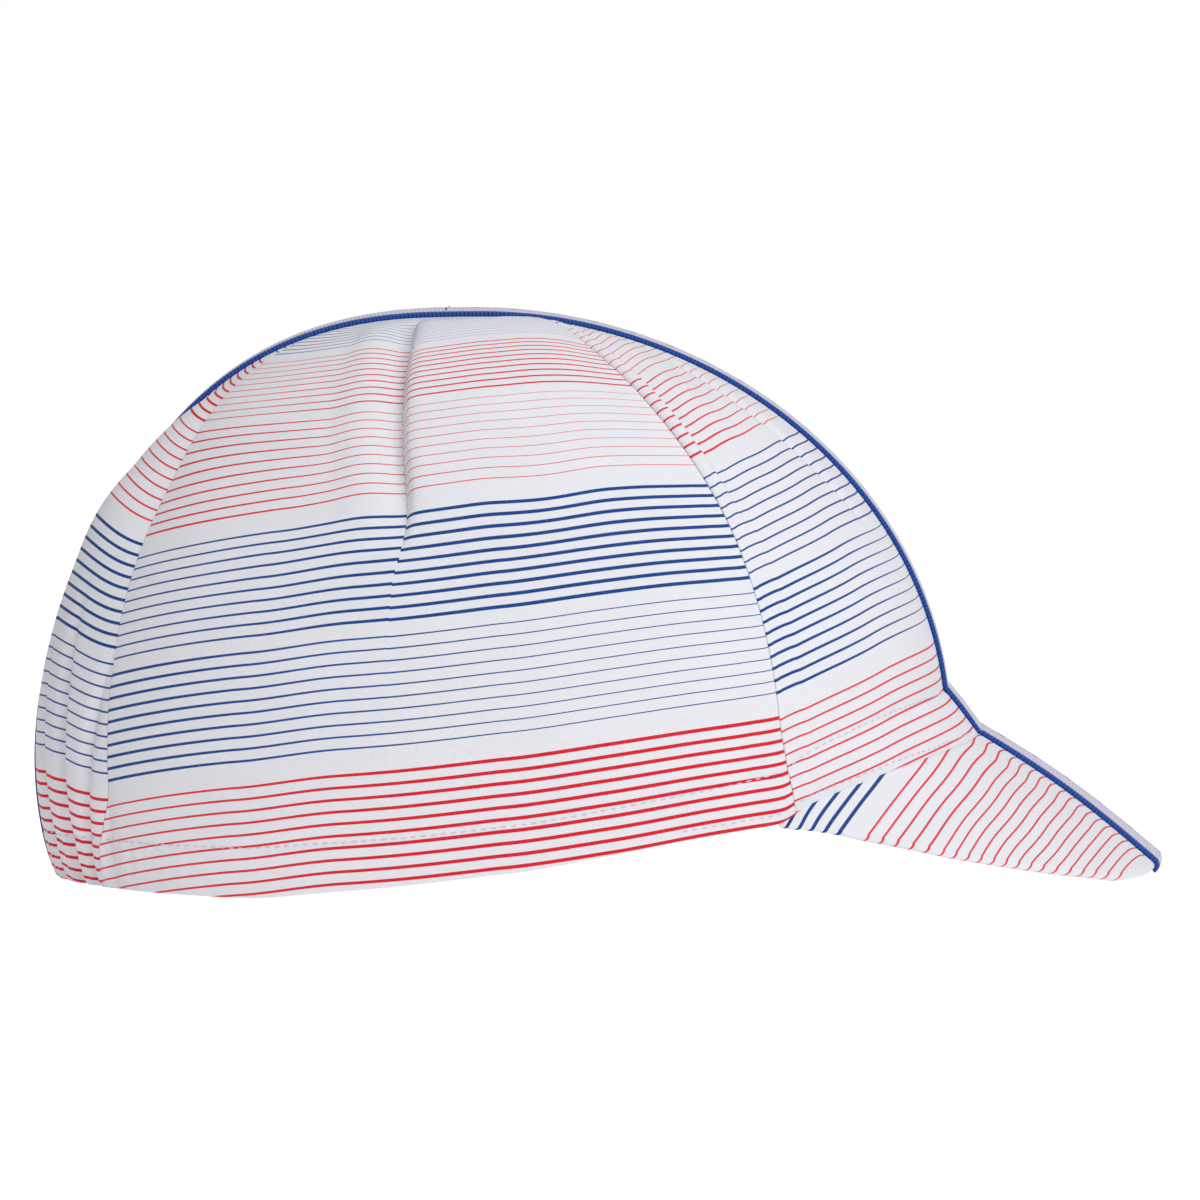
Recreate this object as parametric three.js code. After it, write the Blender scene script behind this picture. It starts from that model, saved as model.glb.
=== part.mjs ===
// A cycling cap of thin striped cloth: six crown panels, a woven tape over the middle and a
// short turned down peak. Millimetres, +X forward, +Y to the wearer's left, +Z up. The cap
// stands on the back of its rim and the edge of its peak, with the floor at Z = 0.
import * as THREE from 'three';

// Crown
const RIM_LENGTH = 209.5;
const RIM_WIDTH = 163;
const CROWN_HEIGHT = 126.6;
const APEX_BACK = 11.5;
const FRONT_LIFT = 31.5;
const REAR_BULGE = 5.8;
const SIDE_BULGE = 2;
const BULGE_HEIGHT = 90;
const BULGE_LOWNESS = 0.75;
const BAND_FLARE = 8;

// Roundness of the outlines: 2 is an ellipse, and more is squarer
const RIM_ROUNDNESS = { side: 2.2, back: 2.45 };
const DOME_ROUNDNESS = { front: 2, side: 2.2, back: 2.5 };

// Cloth
const WALL = 1.5;
const HEM_HEIGHT = 11;
const HEM_EXTRA = 0.7;
const HEM_FADE = 3.3;
const SEAM_GAP = 0.4;

// Tape over the crown and down the peak
const TAPE_WIDTH = 25;
const TAPE_WALL = 1;
const TAPE_CLEARANCE = 0.3;
const TAPE_LAP = 4;
const TAPE_JOIN = 1.2;

// Peak
const PEAK_OVERHANG = 41;
const PEAK_HALF_ANGLE = 58;
const PEAK_WALL = 2.8;
const PEAK_CORNER = 1.6;
const PEAK_EDGE_LEVEL = 0.6;
const PEAK_ARCH = 1.6;
const PEAK_CLEARANCE = 0.35;

// Folds: how far each one stands out or sinks in, and how wide it is
const TUCK_RISE = 2.2;
const TUCK_LIP = 3.6;
const TUCK_REACH = 34;
const TUCK_HUMP = 0.8;
const TUCK_HUMP_WIDTH = 6.5;
const SEAM_RIDGE = 1.7;
const SEAM_DIP = 0.7;
const SEAM_RIDGE_WIDTH = 5;
const BROW_CREASE = 1.3;
const BROW_CREASE_WIDTH = 6;
const REAR_PUFF = 2.4;
const REAR_PUFF_WIDTH = 15;
const PLEAT_DEPTH = 1.7;
const PLEAT_WIDTH = 5;
const FOLD_START = 1;
const FOLD_FULL = 7;

// Facets
const HEM_CLIMBS = [0, 2, 4, 6.2, 9];
const PANEL_ROWS = 19;
const REAR_ROWS = 14;
const SIDE_COLUMNS = 26;
const FRONT_COLUMNS = 11;
const REAR_COLUMNS = 10;
const TAPE_COLUMNS = 4;
const TAPE_ROWS = 18;
const PEAK_COLUMNS = 30;
const PEAK_ROWS = 6;
const PEAK_EDGE_TURNS = [30, 60, 87];
const PEAK_TAPE_ROWS = 8;
const PEAK_TAPE_TURNS = [26, 52, 79, 105];

const TAPE_STAND = TAPE_CLEARANCE + TAPE_WALL;
const APEX_X = -APEX_BACK;
const PEAK_TIP_X = RIM_LENGTH / 2 + PEAK_OVERHANG - TAPE_STAND;
const QUARTER = Math.PI / 2;
const { degToRad, radToDeg, clamp, lerp, smoothstep } = THREE.MathUtils;

// Tables. Angles are in degrees: 0 is the brow and 180 the back, climb is 0 at the rim and
// 90 at the apex. Lifts are shares of the named heights.
const rimLift = table([
  { at: 0, value: 1 },
  { at: 20, value: 0.93 },
  { at: 35, value: 0.73 },
  { at: 48, value: 0.57 },
  { at: 65, value: 0.41 },
  { at: 80, value: 0.27 },
  { at: 95, value: 0.13 },
  { at: 112, value: 0.02 },
  { at: 122, value: 0 },
  { at: 180, value: 0 },
]);
const frontSeam = table([
  { at: 0, value: 55.5 },
  { at: 11, value: 57.5 },
  { at: 31, value: 57.7 },
  { at: 56, value: 60 },
  { at: 74, value: 61.5 },
  { at: 79, value: 67 },
  { at: 83, value: 81 },
  { at: 86, value: 90 },
]);
const rearSeam = table([
  { at: 0, value: 148 },
  { at: 8, value: 143.3 },
  { at: 17, value: 145.2 },
  { at: 31, value: 150.3 },
  { at: 45, value: 155 },
  { at: 65, value: 164 },
  { at: 90, value: 172 },
]);
const tuckLine = table([
  { at: 30, value: 103 },
  { at: 37, value: 102 },
  { at: 50, value: 104.8 },
  { at: 63, value: 108.7 },
  { at: 71, value: 112.5 },
  { at: 78, value: 120 },
]);
const browCreaseLine = table([
  { at: 25, value: 19 },
  { at: 38, value: 25 },
  { at: 48, value: 28.5 },
  { at: 62, value: 30 },
]);

// How strong each fold is at a climb, as a share of its height.
const tuckStrength = table([
  { at: 33, value: 0 },
  { at: 46, value: 1 },
  { at: 76, value: 1 },
  { at: 86, value: 0 },
]);
const ridgeStrength = table([
  { at: 15, value: 0.3 },
  { at: 35, value: 1 },
  { at: 74, value: 1 },
  { at: 82, value: 0 },
]);
const creaseStrength = table([
  { at: 28, value: 0 },
  { at: 38, value: 1 },
  { at: 56, value: 1 },
  { at: 66, value: 0 },
]);
const puffStrength = table([
  { at: 2, value: 0 },
  { at: 14, value: 1 },
  { at: 30, value: 1 },
  { at: 60, value: 0 },
]);

// Height of the peak's edge across its width: 0 is the corner and 90 the tip, and a value of
// 1 is as high as the corner.
const peakEdgeLift = table([
  { at: 0, value: 1 },
  { at: 15, value: 0.75 },
  { at: 30, value: 0.44 },
  { at: 45, value: 0.2 },
  { at: 57, value: 0.05 },
  { at: 65, value: 0 },
  { at: 80, value: 0.12 },
  { at: 90, value: 0.2 },
]);

// Pleats pulled in by the elastic at the back: angle at the rim and where the pleat runs
// out, the climb it reaches, and its size as a share of the pleat sizes above.
const REAR_PLEATS = [
  { foot: 164, head: 167, reach: 24, size: 0.95 },
  { foot: 155, head: 158, reach: 22, size: 1 },
  { foot: 146, head: 150, reach: 20, size: 0.9 },
  { foot: 139, head: 140, reach: 9, size: 0.6 },
];

// A smooth curve through the rows of a table that never overshoots them.
function table(rows) {
  const secants = rows.slice(1).map((row, i) => (row.value - rows[i].value) / (row.at - rows[i].at));
  const slopes = rows.map((_, i) => {
    const before = secants[Math.max(i - 1, 0)];
    const after = secants[Math.min(i, secants.length - 1)];
    return before * after > 0 ? (2 * before * after) / (before + after) : 0;
  });
  return (at) => {
    const x = clamp(at, rows[0].at, rows[rows.length - 1].at);
    const i = clamp(rows.findIndex((row) => row.at >= x) - 1, 0, secants.length - 1);
    const width = rows[i + 1].at - rows[i].at;
    const t = (x - rows[i].at) / width;
    const blend = t * t * (3 - 2 * t);
    const bend = t * (1 - t) * ((1 - t) * slopes[i] - t * slopes[i + 1]);
    return lerp(rows[i].value, rows[i + 1].value, blend) + width * bend;
  };
}

const bump = (x) => (Math.abs(x) < 1 ? Math.cos(QUARTER * x) ** 2 : 0);
const signedPower = (x, power) => Math.sign(x) * Math.abs(x) ** power;
const frontWeight = (angle) => Math.max(Math.cos(angle), 0) ** 2;
const rearWeight = (angle) => Math.max(-Math.cos(angle), 0) ** 2;
const rimPower = (angle) => lerp(RIM_ROUNDNESS.side, RIM_ROUNDNESS.back, rearWeight(angle));
const domePower = (angle) =>
  DOME_ROUNDNESS.side +
  (DOME_ROUNDNESS.front - DOME_ROUNDNESS.side) * frontWeight(angle) +
  (DOME_ROUNDNESS.back - DOME_ROUNDNESS.side) * rearWeight(angle);

// The rim: a rounded oval about X = 0, squarer at the back and lifted at the brow. Angles
// from 0 to half a turn are the right side, Y below 0.
function rimPoint(angle) {
  const power = 2 / rimPower(angle);
  return new THREE.Vector3(
    (RIM_LENGTH / 2) * signedPower(Math.cos(angle), power),
    (-RIM_WIDTH / 2) * signedPower(Math.sin(angle), power),
    FRONT_LIFT * rimLift(radToDeg(Math.abs(angle))),
  );
}

// How far out from the apex, as a share of the rim, the dome is at a climb.
const domeShare = (angle, climb) => Math.cos(climb) ** (2 / domePower(angle));

// The smooth crown: from each rim point the dome climbs to the apex on a rounded quarter
// arc. The back bulges out above the rim, and the brow's hem band flares.
function crownBase(angle, climb) {
  const rim = rimPoint(angle);
  const height = (CROWN_HEIGHT - rim.z) * Math.sin(climb) ** (2 / domePower(angle));
  const front = frontWeight(angle);
  const rear = rearWeight(angle);
  const rise = clamp(height / BULGE_HEIGHT, 0, 1) ** BULGE_LOWNESS;
  const bulge = lerp(SIDE_BULGE, REAR_BULGE, rear) * (1 - front) * Math.sin(Math.PI * rise);
  const inward = BAND_FLARE * front ** 2;
  const flare = inward * clamp(1 - height / HEM_HEIGHT, 0, 1);
  const spanX = rim.x - APEX_X;
  const span = Math.hypot(spanX, rim.y);
  const share = domeShare(angle, climb) * (1 - inward / span) + (bulge + flare) / span;
  return new THREE.Vector3(APEX_X + spanX * share, rim.y * share, rim.z + height);
}

// Unit normal of a surface given as a function of two parameters.
function normalAt(surface, u, w, step) {
  const along = surface(u + step, w).sub(surface(u - step, w));
  const up = surface(u, w + step).sub(surface(u, w - step));
  return up.cross(along).normalize();
}

// A normal turned level towards the rim, so that the rim's foot stays level too.
function levelAtRim(normal, point, angle) {
  normal.z *= smoothstep(point.z - rimPoint(angle).z, 0, HEM_HEIGHT);
  return normal.normalize();
}

// The crown with its folds: the smooth crown moved along its normal. The tape holds the
// folds flat where it lies over them.
function crownPoint(angle, climb, foldAt) {
  const step = 1e-3;
  const point = crownBase(angle, climb);
  const normal = normalAt(crownBase, angle, clamp(climb, step, QUARTER - step), step);
  levelAtRim(normal, point, angle);
  const besideTape = Math.abs(point.y) - TAPE_WIDTH / 2;
  const free = smoothstep(besideTape, FOLD_START, FOLD_FULL);
  return point.addScaledVector(normal, foldAt(angle, climb) * free);
}

// Distance along the cloth, in millimetres, from a line at an angle in degrees.
function offsetFrom(lineAngle, angle, climb) {
  const point = crownBase(angle, climb);
  return degToRad(lineAngle - radToDeg(angle)) * Math.hypot(point.x - APEX_X, point.y);
}

// Side panel: a tuck from the tape down. Its front lip lies on top, with a soft hump behind.
function sideFolds(angle, climb) {
  const degrees = radToDeg(climb);
  const offset = offsetFrom(tuckLine(degrees), angle, climb);
  const lip = TUCK_RISE * smoothstep(offset, 0, TUCK_LIP) * Math.exp(-((offset / TUCK_REACH) ** 2));
  const hump = TUCK_HUMP * bump((offset + TUCK_HUMP_WIDTH) / TUCK_HUMP_WIDTH);
  return tuckStrength(degrees) * (lip + hump) + rearPleats(angle, climb);
}

// Front panel: a rounded ridge beside the seam and a crease beside the tape.
function frontFolds(angle, climb) {
  const degrees = radToDeg(climb);
  const ridges = offsetFrom(frontSeam(degrees), angle, climb) / SEAM_RIDGE_WIDTH;
  const ridge = SEAM_RIDGE * bump(ridges - 0.5) - SEAM_DIP * bump(ridges - 1.75);
  const crease = bump(offsetFrom(browCreaseLine(degrees), angle, climb) / BROW_CREASE_WIDTH);
  return ridgeStrength(degrees) * ridge - BROW_CREASE * creaseStrength(degrees) * crease;
}

// Pleats at the back, deepest at the rim and running out upwards.
function rearPleats(angle, climb) {
  const degrees = radToDeg(climb);
  const depths = REAR_PLEATS.map((pleat) => {
    const share = degrees / pleat.reach;
    const offset = offsetFrom(lerp(pleat.foot, pleat.head, share), angle, climb);
    return pleat.size * PLEAT_DEPTH * bump(offset / PLEAT_WIDTH) * (1 - smoothstep(share, 0.4, 1));
  });
  return -depths.reduce((sum, depth) => sum + depth, 0);
}

// Rear panel: the cloth puffs out beside the tape, and the pleats run through it.
function rearFolds(angle, climb) {
  const point = crownBase(angle, climb);
  const besideTape = Math.abs(point.y) - TAPE_WIDTH / 2 - REAR_PUFF_WIDTH;
  const puff = REAR_PUFF * puffStrength(radToDeg(climb)) * bump(besideTape / REAR_PUFF_WIDTH);
  return puff + rearPleats(angle, climb);
}

// Angle at which a level of the crown, a share of the rim in size, is a given distance from
// the middle line, at the front or at the back.
function angleBesideMiddle(distance, shareAt, atBack) {
  let angle = atBack ? Math.PI : 0;
  for (let pass = 0; pass < 5; pass += 1) {
    const share = clamp(distance / ((RIM_WIDTH / 2) * shareAt(angle)), 0, 1);
    const turn = Math.asin(share ** (rimPower(angle) / 2));
    angle = atBack ? Math.PI - turn : turn;
  }
  return angle;
}

// A closed wall: an outer and an inner grid of points, joined round their four edges.
function wall(pointAt, columns, rows) {
  const positions = [];
  const layers = [0, 1].map((layer) =>
    rows.map((row) =>
      Array.from({ length: columns + 1 }, (_, column) => {
        const point = pointAt(column / columns, row, layer);
        positions.push(point.x, point.y, point.z);
        return positions.length / 3 - 1;
      }),
    ),
  );
  const [outer, inner] = layers;
  const triangles = [];
  const quad = (a, b, c, d) => triangles.push(a, b, c, a, c, d);
  const last = rows.length - 1;
  for (let row = 0; row < last; row += 1) {
    for (let column = 0; column < columns; column += 1) {
      quad(outer[row][column], outer[row + 1][column], outer[row + 1][column + 1], outer[row][column + 1]);
      quad(inner[row][column], inner[row][column + 1], inner[row + 1][column + 1], inner[row + 1][column]);
    }
    quad(outer[row][0], inner[row][0], inner[row + 1][0], outer[row + 1][0]);
    quad(outer[row][columns], outer[row + 1][columns], inner[row + 1][columns], inner[row][columns]);
  }
  for (let column = 0; column < columns; column += 1) {
    quad(outer[0][column], outer[0][column + 1], inner[0][column + 1], inner[0][column]);
    quad(outer[last][column], inner[last][column], inner[last][column + 1], outer[last][column + 1]);
  }
  return solidGeometry(positions, triangles);
}

// Points and triangles as a geometry whose faces point out of the body.
function solidGeometry(positions, triangles) {
  const at = (i) => new THREE.Vector3().fromArray(positions, 3 * i);
  let volume = 0;
  for (let i = 0; i < triangles.length; i += 3) {
    volume += at(triangles[i]).dot(at(triangles[i + 1]).cross(at(triangles[i + 2])));
  }
  const geometry = new THREE.BufferGeometry();
  geometry.setAttribute('position', new THREE.Float32BufferAttribute(positions, 3));
  geometry.setIndex(volume > 0 ? triangles : triangles.toReversed());
  geometry.computeVertexNormals();
  return geometry;
}

// A panel of the crown between two edges given as angles at each climb. The wall is thicker
// where the hem is turned up, and its foot is level, so that it stands flat.
function panel(startAt, endAt, foldAt, columns, climbs, side) {
  return wall((share, climb, layer) => {
    const reach = crownBase(QUARTER, climb);
    const gap = SEAM_GAP / 2 / Math.hypot(reach.x - APEX_X, reach.y);
    const angle = lerp(startAt(climb) + gap, endAt(climb) - gap, share);
    const surface = (a, c) => crownPoint(a, c, foldAt);
    const step = 2e-3;
    const point = surface(angle, climb);
    const normal = normalAt(surface, angle, clamp(climb, step, QUARTER - step), step);
    const height = point.z - rimPoint(angle).z;
    const hem = HEM_EXTRA * (1 - smoothstep(height, HEM_HEIGHT - HEM_FADE, HEM_HEIGHT + HEM_FADE));
    point.addScaledVector(levelAtRim(normal, point, angle), -layer * (WALL + hem));
    point.y *= side;
    return point;
  }, columns, climbs);
}

// Climbs for the rows of a panel: close together in the hem, then even up to the top.
function panelClimbs(top, rows) {
  const hem = HEM_CLIMBS.map(degToRad);
  const start = hem[hem.length - 1];
  const rest = Array.from({ length: rows }, (_, i) => lerp(start, top, (i + 1) / rows));
  return [...hem, ...rest];
}

// The panels' edges: their seams, and the lines where they end a lap in under the tape.
const underTape = TAPE_WIDTH / 2 - TAPE_LAP;
const tapeEdge = (climb, atBack) =>
  angleBesideMiddle(underTape, (angle) => domeShare(angle, climb), atBack);
const frontTapeEdge = (climb) => tapeEdge(climb, false);
const rearTapeEdge = (climb) => tapeEdge(climb, true);
const frontSeamAt = (climb) => degToRad(frontSeam(radToDeg(climb)));
const rearSeamAt = (climb) => degToRad(rearSeam(radToDeg(climb)));
const sideRearEdge = (climb) => Math.min(rearSeamAt(climb), rearTapeEdge(climb));

// The highest climb at which a seam is still clear of the tape's edge line.
function seamTop(isClear) {
  let climb = 0;
  const stepUp = degToRad(0.25);
  while (climb + stepUp < QUARTER && isClear(climb + stepUp)) {
    climb += stepUp;
  }
  return climb;
}

const frontSeamTop = seamTop((climb) => frontSeamAt(climb) > frontTapeEdge(climb));
const rearSeamTop = seamTop((climb) => rearSeamAt(climb) < rearTapeEdge(climb));
const frontClimbs = panelClimbs(frontSeamTop, PANEL_ROWS);
const rearClimbs = panelClimbs(rearSeamTop, REAR_ROWS);

const sidePanel = (side) =>
  panel(frontSeamAt, sideRearEdge, sideFolds, SIDE_COLUMNS, frontClimbs, side);
const frontPanel = (side) =>
  panel(frontTapeEdge, frontSeamAt, frontFolds, FRONT_COLUMNS, frontClimbs, side);
const rearPanel = (side) =>
  panel(rearSeamAt, rearTapeEdge, rearFolds, REAR_COLUMNS, rearClimbs, side);

// Crown tape: follows the middle line from the back of the rim (0) to the brow (1), at a
// constant distance either side of it. Over the apex the rows run straight across.
function tapePoint(share, along) {
  const across = (share - 0.5) * TAPE_WIDTH;
  const atBack = along < 0.5;
  const climb = QUARTER * (1 - Math.abs(2 * along - 1));
  const middle = domeShare(atBack ? Math.PI : 0, climb);
  const straight = 1 - smoothstep(middle, 0.3, 0.7);
  const level = Math.min(Math.hypot(middle, (across / (RIM_WIDTH / 2)) * Math.sqrt(straight)), 1);
  const angle = level > 0 ? angleBesideMiddle(Math.abs(across), () => level, atBack) : QUARTER;
  const point = crownBase(angle, Math.acos(level ** (domePower(angle) / 2)));
  point.y = across;
  return point;
}

function crownTape() {
  const half = panelClimbs(QUARTER, TAPE_ROWS).map((climb) => climb / Math.PI);
  const rows = [...half, ...half.slice(0, -1).reverse().map((along) => 1 - along)];
  return wall((share, along, layer) => {
    const step = 4e-3;
    const inside = clamp(along, step, 1 - step);
    const point = tapePoint(share, along);
    const normal = normalAt(tapePoint, share, inside, step);
    levelAtRim(normal, point, along < 0.5 ? Math.PI : 0);
    return point.addScaledVector(normal, TAPE_CLEARANCE + TAPE_WALL * (1 - layer));
  }, TAPE_COLUMNS, rows);
}

// Middle of the peak's thickness, up to where its rounded edge begins. Straight rulings run
// from the crown's front rim out to an edge that comes down to the floor, with a slight
// arch. Share 0 is the right corner and 1 the left, run 0 the root and 1 the rounded edge.
function peakMiddle(share, run) {
  const angle = degToRad(lerp(PEAK_HALF_ANGLE, -PEAK_HALF_ANGLE, share));
  const sweep = QUARTER * (1 - Math.abs(2 * share - 1));
  const drop = PEAK_CLEARANCE + PEAK_WALL / 2;
  const corner = rimPoint(degToRad(PEAK_HALF_ANGLE));
  const root = rimPoint(angle);
  root.z -= drop;
  const cornerX = corner.x + PEAK_CORNER;
  const cornerLift = corner.z - drop - PEAK_EDGE_LEVEL - PEAK_CORNER;
  const edge = new THREE.Vector3(
    lerp(cornerX, PEAK_TIP_X, Math.sin(sweep)),
    (corner.y - PEAK_CORNER) * Math.cos(sweep) * (share < 0.5 ? 1 : -1),
    PEAK_EDGE_LEVEL + cornerLift * peakEdgeLift(radToDeg(sweep)),
  );
  const rounded = PEAK_WALL / 2 / root.distanceTo(edge);
  const point = root.lerp(edge, run * (1 - rounded));
  point.z += PEAK_ARCH * Math.sin(Math.PI * clamp(run, 0, 1)) * Math.sin(sweep);
  return point;
}

// A point at a distance from the peak's middle: above it at turn 0, straight out from the
// rounded edge at a quarter turn, and below it at a half turn.
function aroundPeak(share, run, turn, distance) {
  const step = 5e-3;
  const insideShare = clamp(share, step, 1 - step);
  const insideRun = clamp(run, step, 1 - step);
  const up = normalAt(peakMiddle, insideShare, insideRun, step);
  const out = peakMiddle(insideShare, insideRun + step).sub(peakMiddle(insideShare, insideRun - step));
  return peakMiddle(share, run)
    .addScaledVector(up, distance * Math.cos(turn))
    .addScaledVector(out.normalize(), distance * Math.sin(turn));
}

const evenly = (count) => Array.from({ length: count + 1 }, (_, i) => i / count);
const roundEdge = (turns) => turns.map((turn) => ({ run: 1, turn: degToRad(turn) }));

function peak() {
  const rows = [
    ...evenly(PEAK_ROWS).map((run) => ({ run, turn: 0 })),
    ...roundEdge(PEAK_EDGE_TURNS),
  ];
  return wall(
    (share, { run, turn }, layer) => aroundPeak(share, run, layer ? Math.PI - turn : turn, PEAK_WALL / 2),
    PEAK_COLUMNS,
    rows,
  );
}

// Share of the peak's width at a distance from its middle line.
function peakShareAt(across, run) {
  let low = 0;
  let high = 1;
  for (let pass = 0; pass < 30; pass += 1) {
    const middle = (low + high) / 2;
    if (peakMiddle(middle, run).y < across) {
      low = middle;
    } else {
      high = middle;
    }
  }
  return (low + high) / 2;
}

// Peak tape: down the middle of the peak and round its edge, where it is caught.
function peakTape() {
  const length = peakMiddle(0.5, 0).distanceTo(peakMiddle(0.5, 1));
  const start = TAPE_JOIN / length;
  const rows = [
    ...evenly(PEAK_TAPE_ROWS).map((share) => ({ run: lerp(start, 1, share), turn: 0 })),
    ...roundEdge(PEAK_TAPE_TURNS),
  ];
  return wall((share, { run, turn }, layer) => {
    const across = (share - 0.5) * TAPE_WIDTH;
    const distance = PEAK_WALL / 2 + TAPE_CLEARANCE + TAPE_WALL * (1 - layer);
    return aroundPeak(peakShareAt(across, run), run, turn, distance);
  }, TAPE_COLUMNS, rows);
}

const cloth = { roughness: 0.75, metalness: 0 };
const white = new THREE.Color(0.93, 0.92, 0.95);
const blue = new THREE.Color(0.02, 0.13, 0.45);

function piece(name, geometry, color) {
  const mesh = new THREE.Mesh(geometry, new THREE.MeshStandardMaterial({ color, ...cloth }));
  mesh.name = name;
  return mesh;
}

const cap = new THREE.Group();
[
  { label: 'right', side: 1 },
  { label: 'left', side: -1 },
].forEach(({ label, side }) => {
  cap.add(piece(`side_panel_${label}`, sidePanel(side), white));
  cap.add(piece(`front_panel_${label}`, frontPanel(side), white));
  cap.add(piece(`rear_panel_${label}`, rearPanel(side), white));
});
cap.add(piece('crown_tape', crownTape(), blue));
cap.add(piece('peak', peak(), white));
cap.add(piece('peak_tape', peakTape(), blue));

// Everything above is about the middle of the rim. The origin goes under the middle of the
// whole length, from the back of the crown to the tip of the peak.
const extent = new THREE.Box3().setFromObject(cap);
cap.position.x = -(extent.min.x + extent.max.x) / 2;

export default cap;
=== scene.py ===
"""A cycling cap of thin striped cloth, standing on the back of its rim and the edge of its peak.

The CAD frame gives the cap's place and box. Every cloth piece is worked out here again as a
fine numpy surface from the same named sizes, with its folds, hems, stitches and print, and
stands for the solid of the same piece. Sizes are in millimetres, and metres in the meshes.
"""
import math

import bpy
import numpy as np
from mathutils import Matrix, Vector


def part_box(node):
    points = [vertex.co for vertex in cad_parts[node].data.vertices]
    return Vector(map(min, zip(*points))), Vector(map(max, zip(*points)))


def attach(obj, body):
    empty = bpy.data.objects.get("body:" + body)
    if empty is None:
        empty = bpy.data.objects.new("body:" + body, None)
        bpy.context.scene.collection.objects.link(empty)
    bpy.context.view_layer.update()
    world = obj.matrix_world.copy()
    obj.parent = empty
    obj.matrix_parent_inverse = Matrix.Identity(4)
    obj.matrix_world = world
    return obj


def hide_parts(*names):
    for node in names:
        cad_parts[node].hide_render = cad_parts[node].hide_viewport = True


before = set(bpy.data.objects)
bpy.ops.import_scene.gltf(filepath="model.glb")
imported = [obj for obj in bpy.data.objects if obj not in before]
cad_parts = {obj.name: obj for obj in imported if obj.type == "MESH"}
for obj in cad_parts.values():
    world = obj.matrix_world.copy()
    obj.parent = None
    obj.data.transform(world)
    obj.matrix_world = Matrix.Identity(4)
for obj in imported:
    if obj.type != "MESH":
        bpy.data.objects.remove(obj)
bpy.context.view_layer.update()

MM = 0.001
TURN = 2 * np.pi

# Crown
RIM_LENGTH = 209.5
RIM_WIDTH = 163
CROWN_HEIGHT = 126.6
APEX_X = -11.5
FRONT_LIFT = 31.5
REAR_BULGE = 5.8
SIDE_BULGE = 2
BULGE_HEIGHT = 90
BULGE_LOWNESS = 0.75
BAND_FLARE = 8
RIM_ROUNDNESS = {"side": 2.2, "back": 2.45}
DOME_ROUNDNESS = {"front": 2, "side": 2.2, "back": 2.5}

# Cloth
WALL = 1.5
HEM_HEIGHT = 11
HEM_EXTRA = 0.7
HEM_FADE = 1.2
HEM_ROUND = 0.6
SEAM_GAP = 0.004
SEAM_ROLL = 0.18
HEM_GROOVE = 0.28
HEM_GROOVE_WIDTH = 0.7
WEAVE_PITCH = 0.42
WEAVE_DEPTH = 0.12

# Stitches
RIM_ROW = 2.3
STITCH_LENGTH = 1.5
STITCH_GAP = 0.7
STITCH_WIDTH = 0.3
STITCH_STAND = 0.1
STITCH_DIVE = 0.22
THREAD_PITCH = 0.3

# Tape
TAPE_WIDTH = 25
BORDER_WIDTH = 2.1
MOTIF_PITCH = 9
MOTIF_REACH = 3.2
MOTIF_EDGE = 0.3
MOTIF_COVER = 0.8
BORDER_EDGE = 0.15
RIB_PITCHES = {"along": 0.9, "across": 0.8}
RIB_DEPTH = 0.14
TAPE_WALL = 1.1
TAPE_SINK = 0.15
TAPE_LAP = 4
TAPE_JOIN = 0.2
TAPE_STAND = 1.3

# Peak
PEAK_OVERHANG = 41
PEAK_HALF_ANGLE = 58
PEAK_WALL = 2.3
PEAK_CORNER = 0.3
PEAK_CORNER_WALL = 0.6
PEAK_EDGE_LEVEL = 0.6
PEAK_ARCH = 1.6
PEAK_LAP = 0.9
PEAK_TAPE_TURN = 105
PEAK_TIP_X = RIM_LENGTH / 2 + PEAK_OVERHANG - TAPE_STAND

# Folds
TUCK_RISE = 3.4
TUCK_ROUND = 3.6
TUCK_REACH = 34
TUCK_VALLEY = 1.5
TUCK_VALLEY_WIDTHS = {"behind": 3.2, "under": 0.8}
TUCK_HUMP = 0.9
TUCK_HUMP_WIDTH = 6.5
TUCK_HUMP_BACK = 1.25 * TUCK_HUMP_WIDTH
SEAM_RIDGE = 1.9
SEAM_RIDGE_WIDTH = 4.4
SEAM_DIP = 0.8
SEAM_DIP_LIP = 1.2
SEAM_DIP_RUN = 2.6
SEAM_SWELL = 0.7
SEAM_SWELL_AT = 13
SEAM_SWELL_WIDTH = 9
BROW_CREASE = {"sharp": 0.6, "soft": 0.5}
BROW_CREASE_WIDTHS = {"sharp": 1.2, "soft": 4}
REAR_PUFF = 5.2
PLEAT_DEPTHS = {"sharp": 1.61, "soft": 0.805}
PLEAT_WIDTHS = {"sharp": 1.26, "soft": 4.2}
PLEAT_FADE = 0.4
FOLD_START = 1
FOLD_FULL = 7

# Puckers in the hem at the back: their height, the angles and the heights of cloth between
# which they come and go, and how fast each wave turns with the angle
PUCKER = 0.16
PUCKER_ANGLES = (112, 138)
PUCKER_HEIGHTS = (6, 17)
PUCKER_PACES = {"coarse": 3.1, "fine": 5.3, "drift": 0.7}
PUCKER_SHARES = {"fine": 0.6, "drift": 1.5}

# Slow waves beside the tuck: their height, the cloth to a turn's radian, where they start and
# the climbs over which they grow
WAVES_AHEAD = {"height": 0.45, "length": 7.5, "start": -1.1, "climbs": (52, 64)}
WAVES_AHEAD_MIDDLE = 26
WAVES_AHEAD_REACH = 34
WAVES_BEHIND = {"height": 0.35, "length": 11, "start": 0.6, "climbs": (12, 40)}
WAVES_BEHIND_CLEAR = 18

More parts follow.
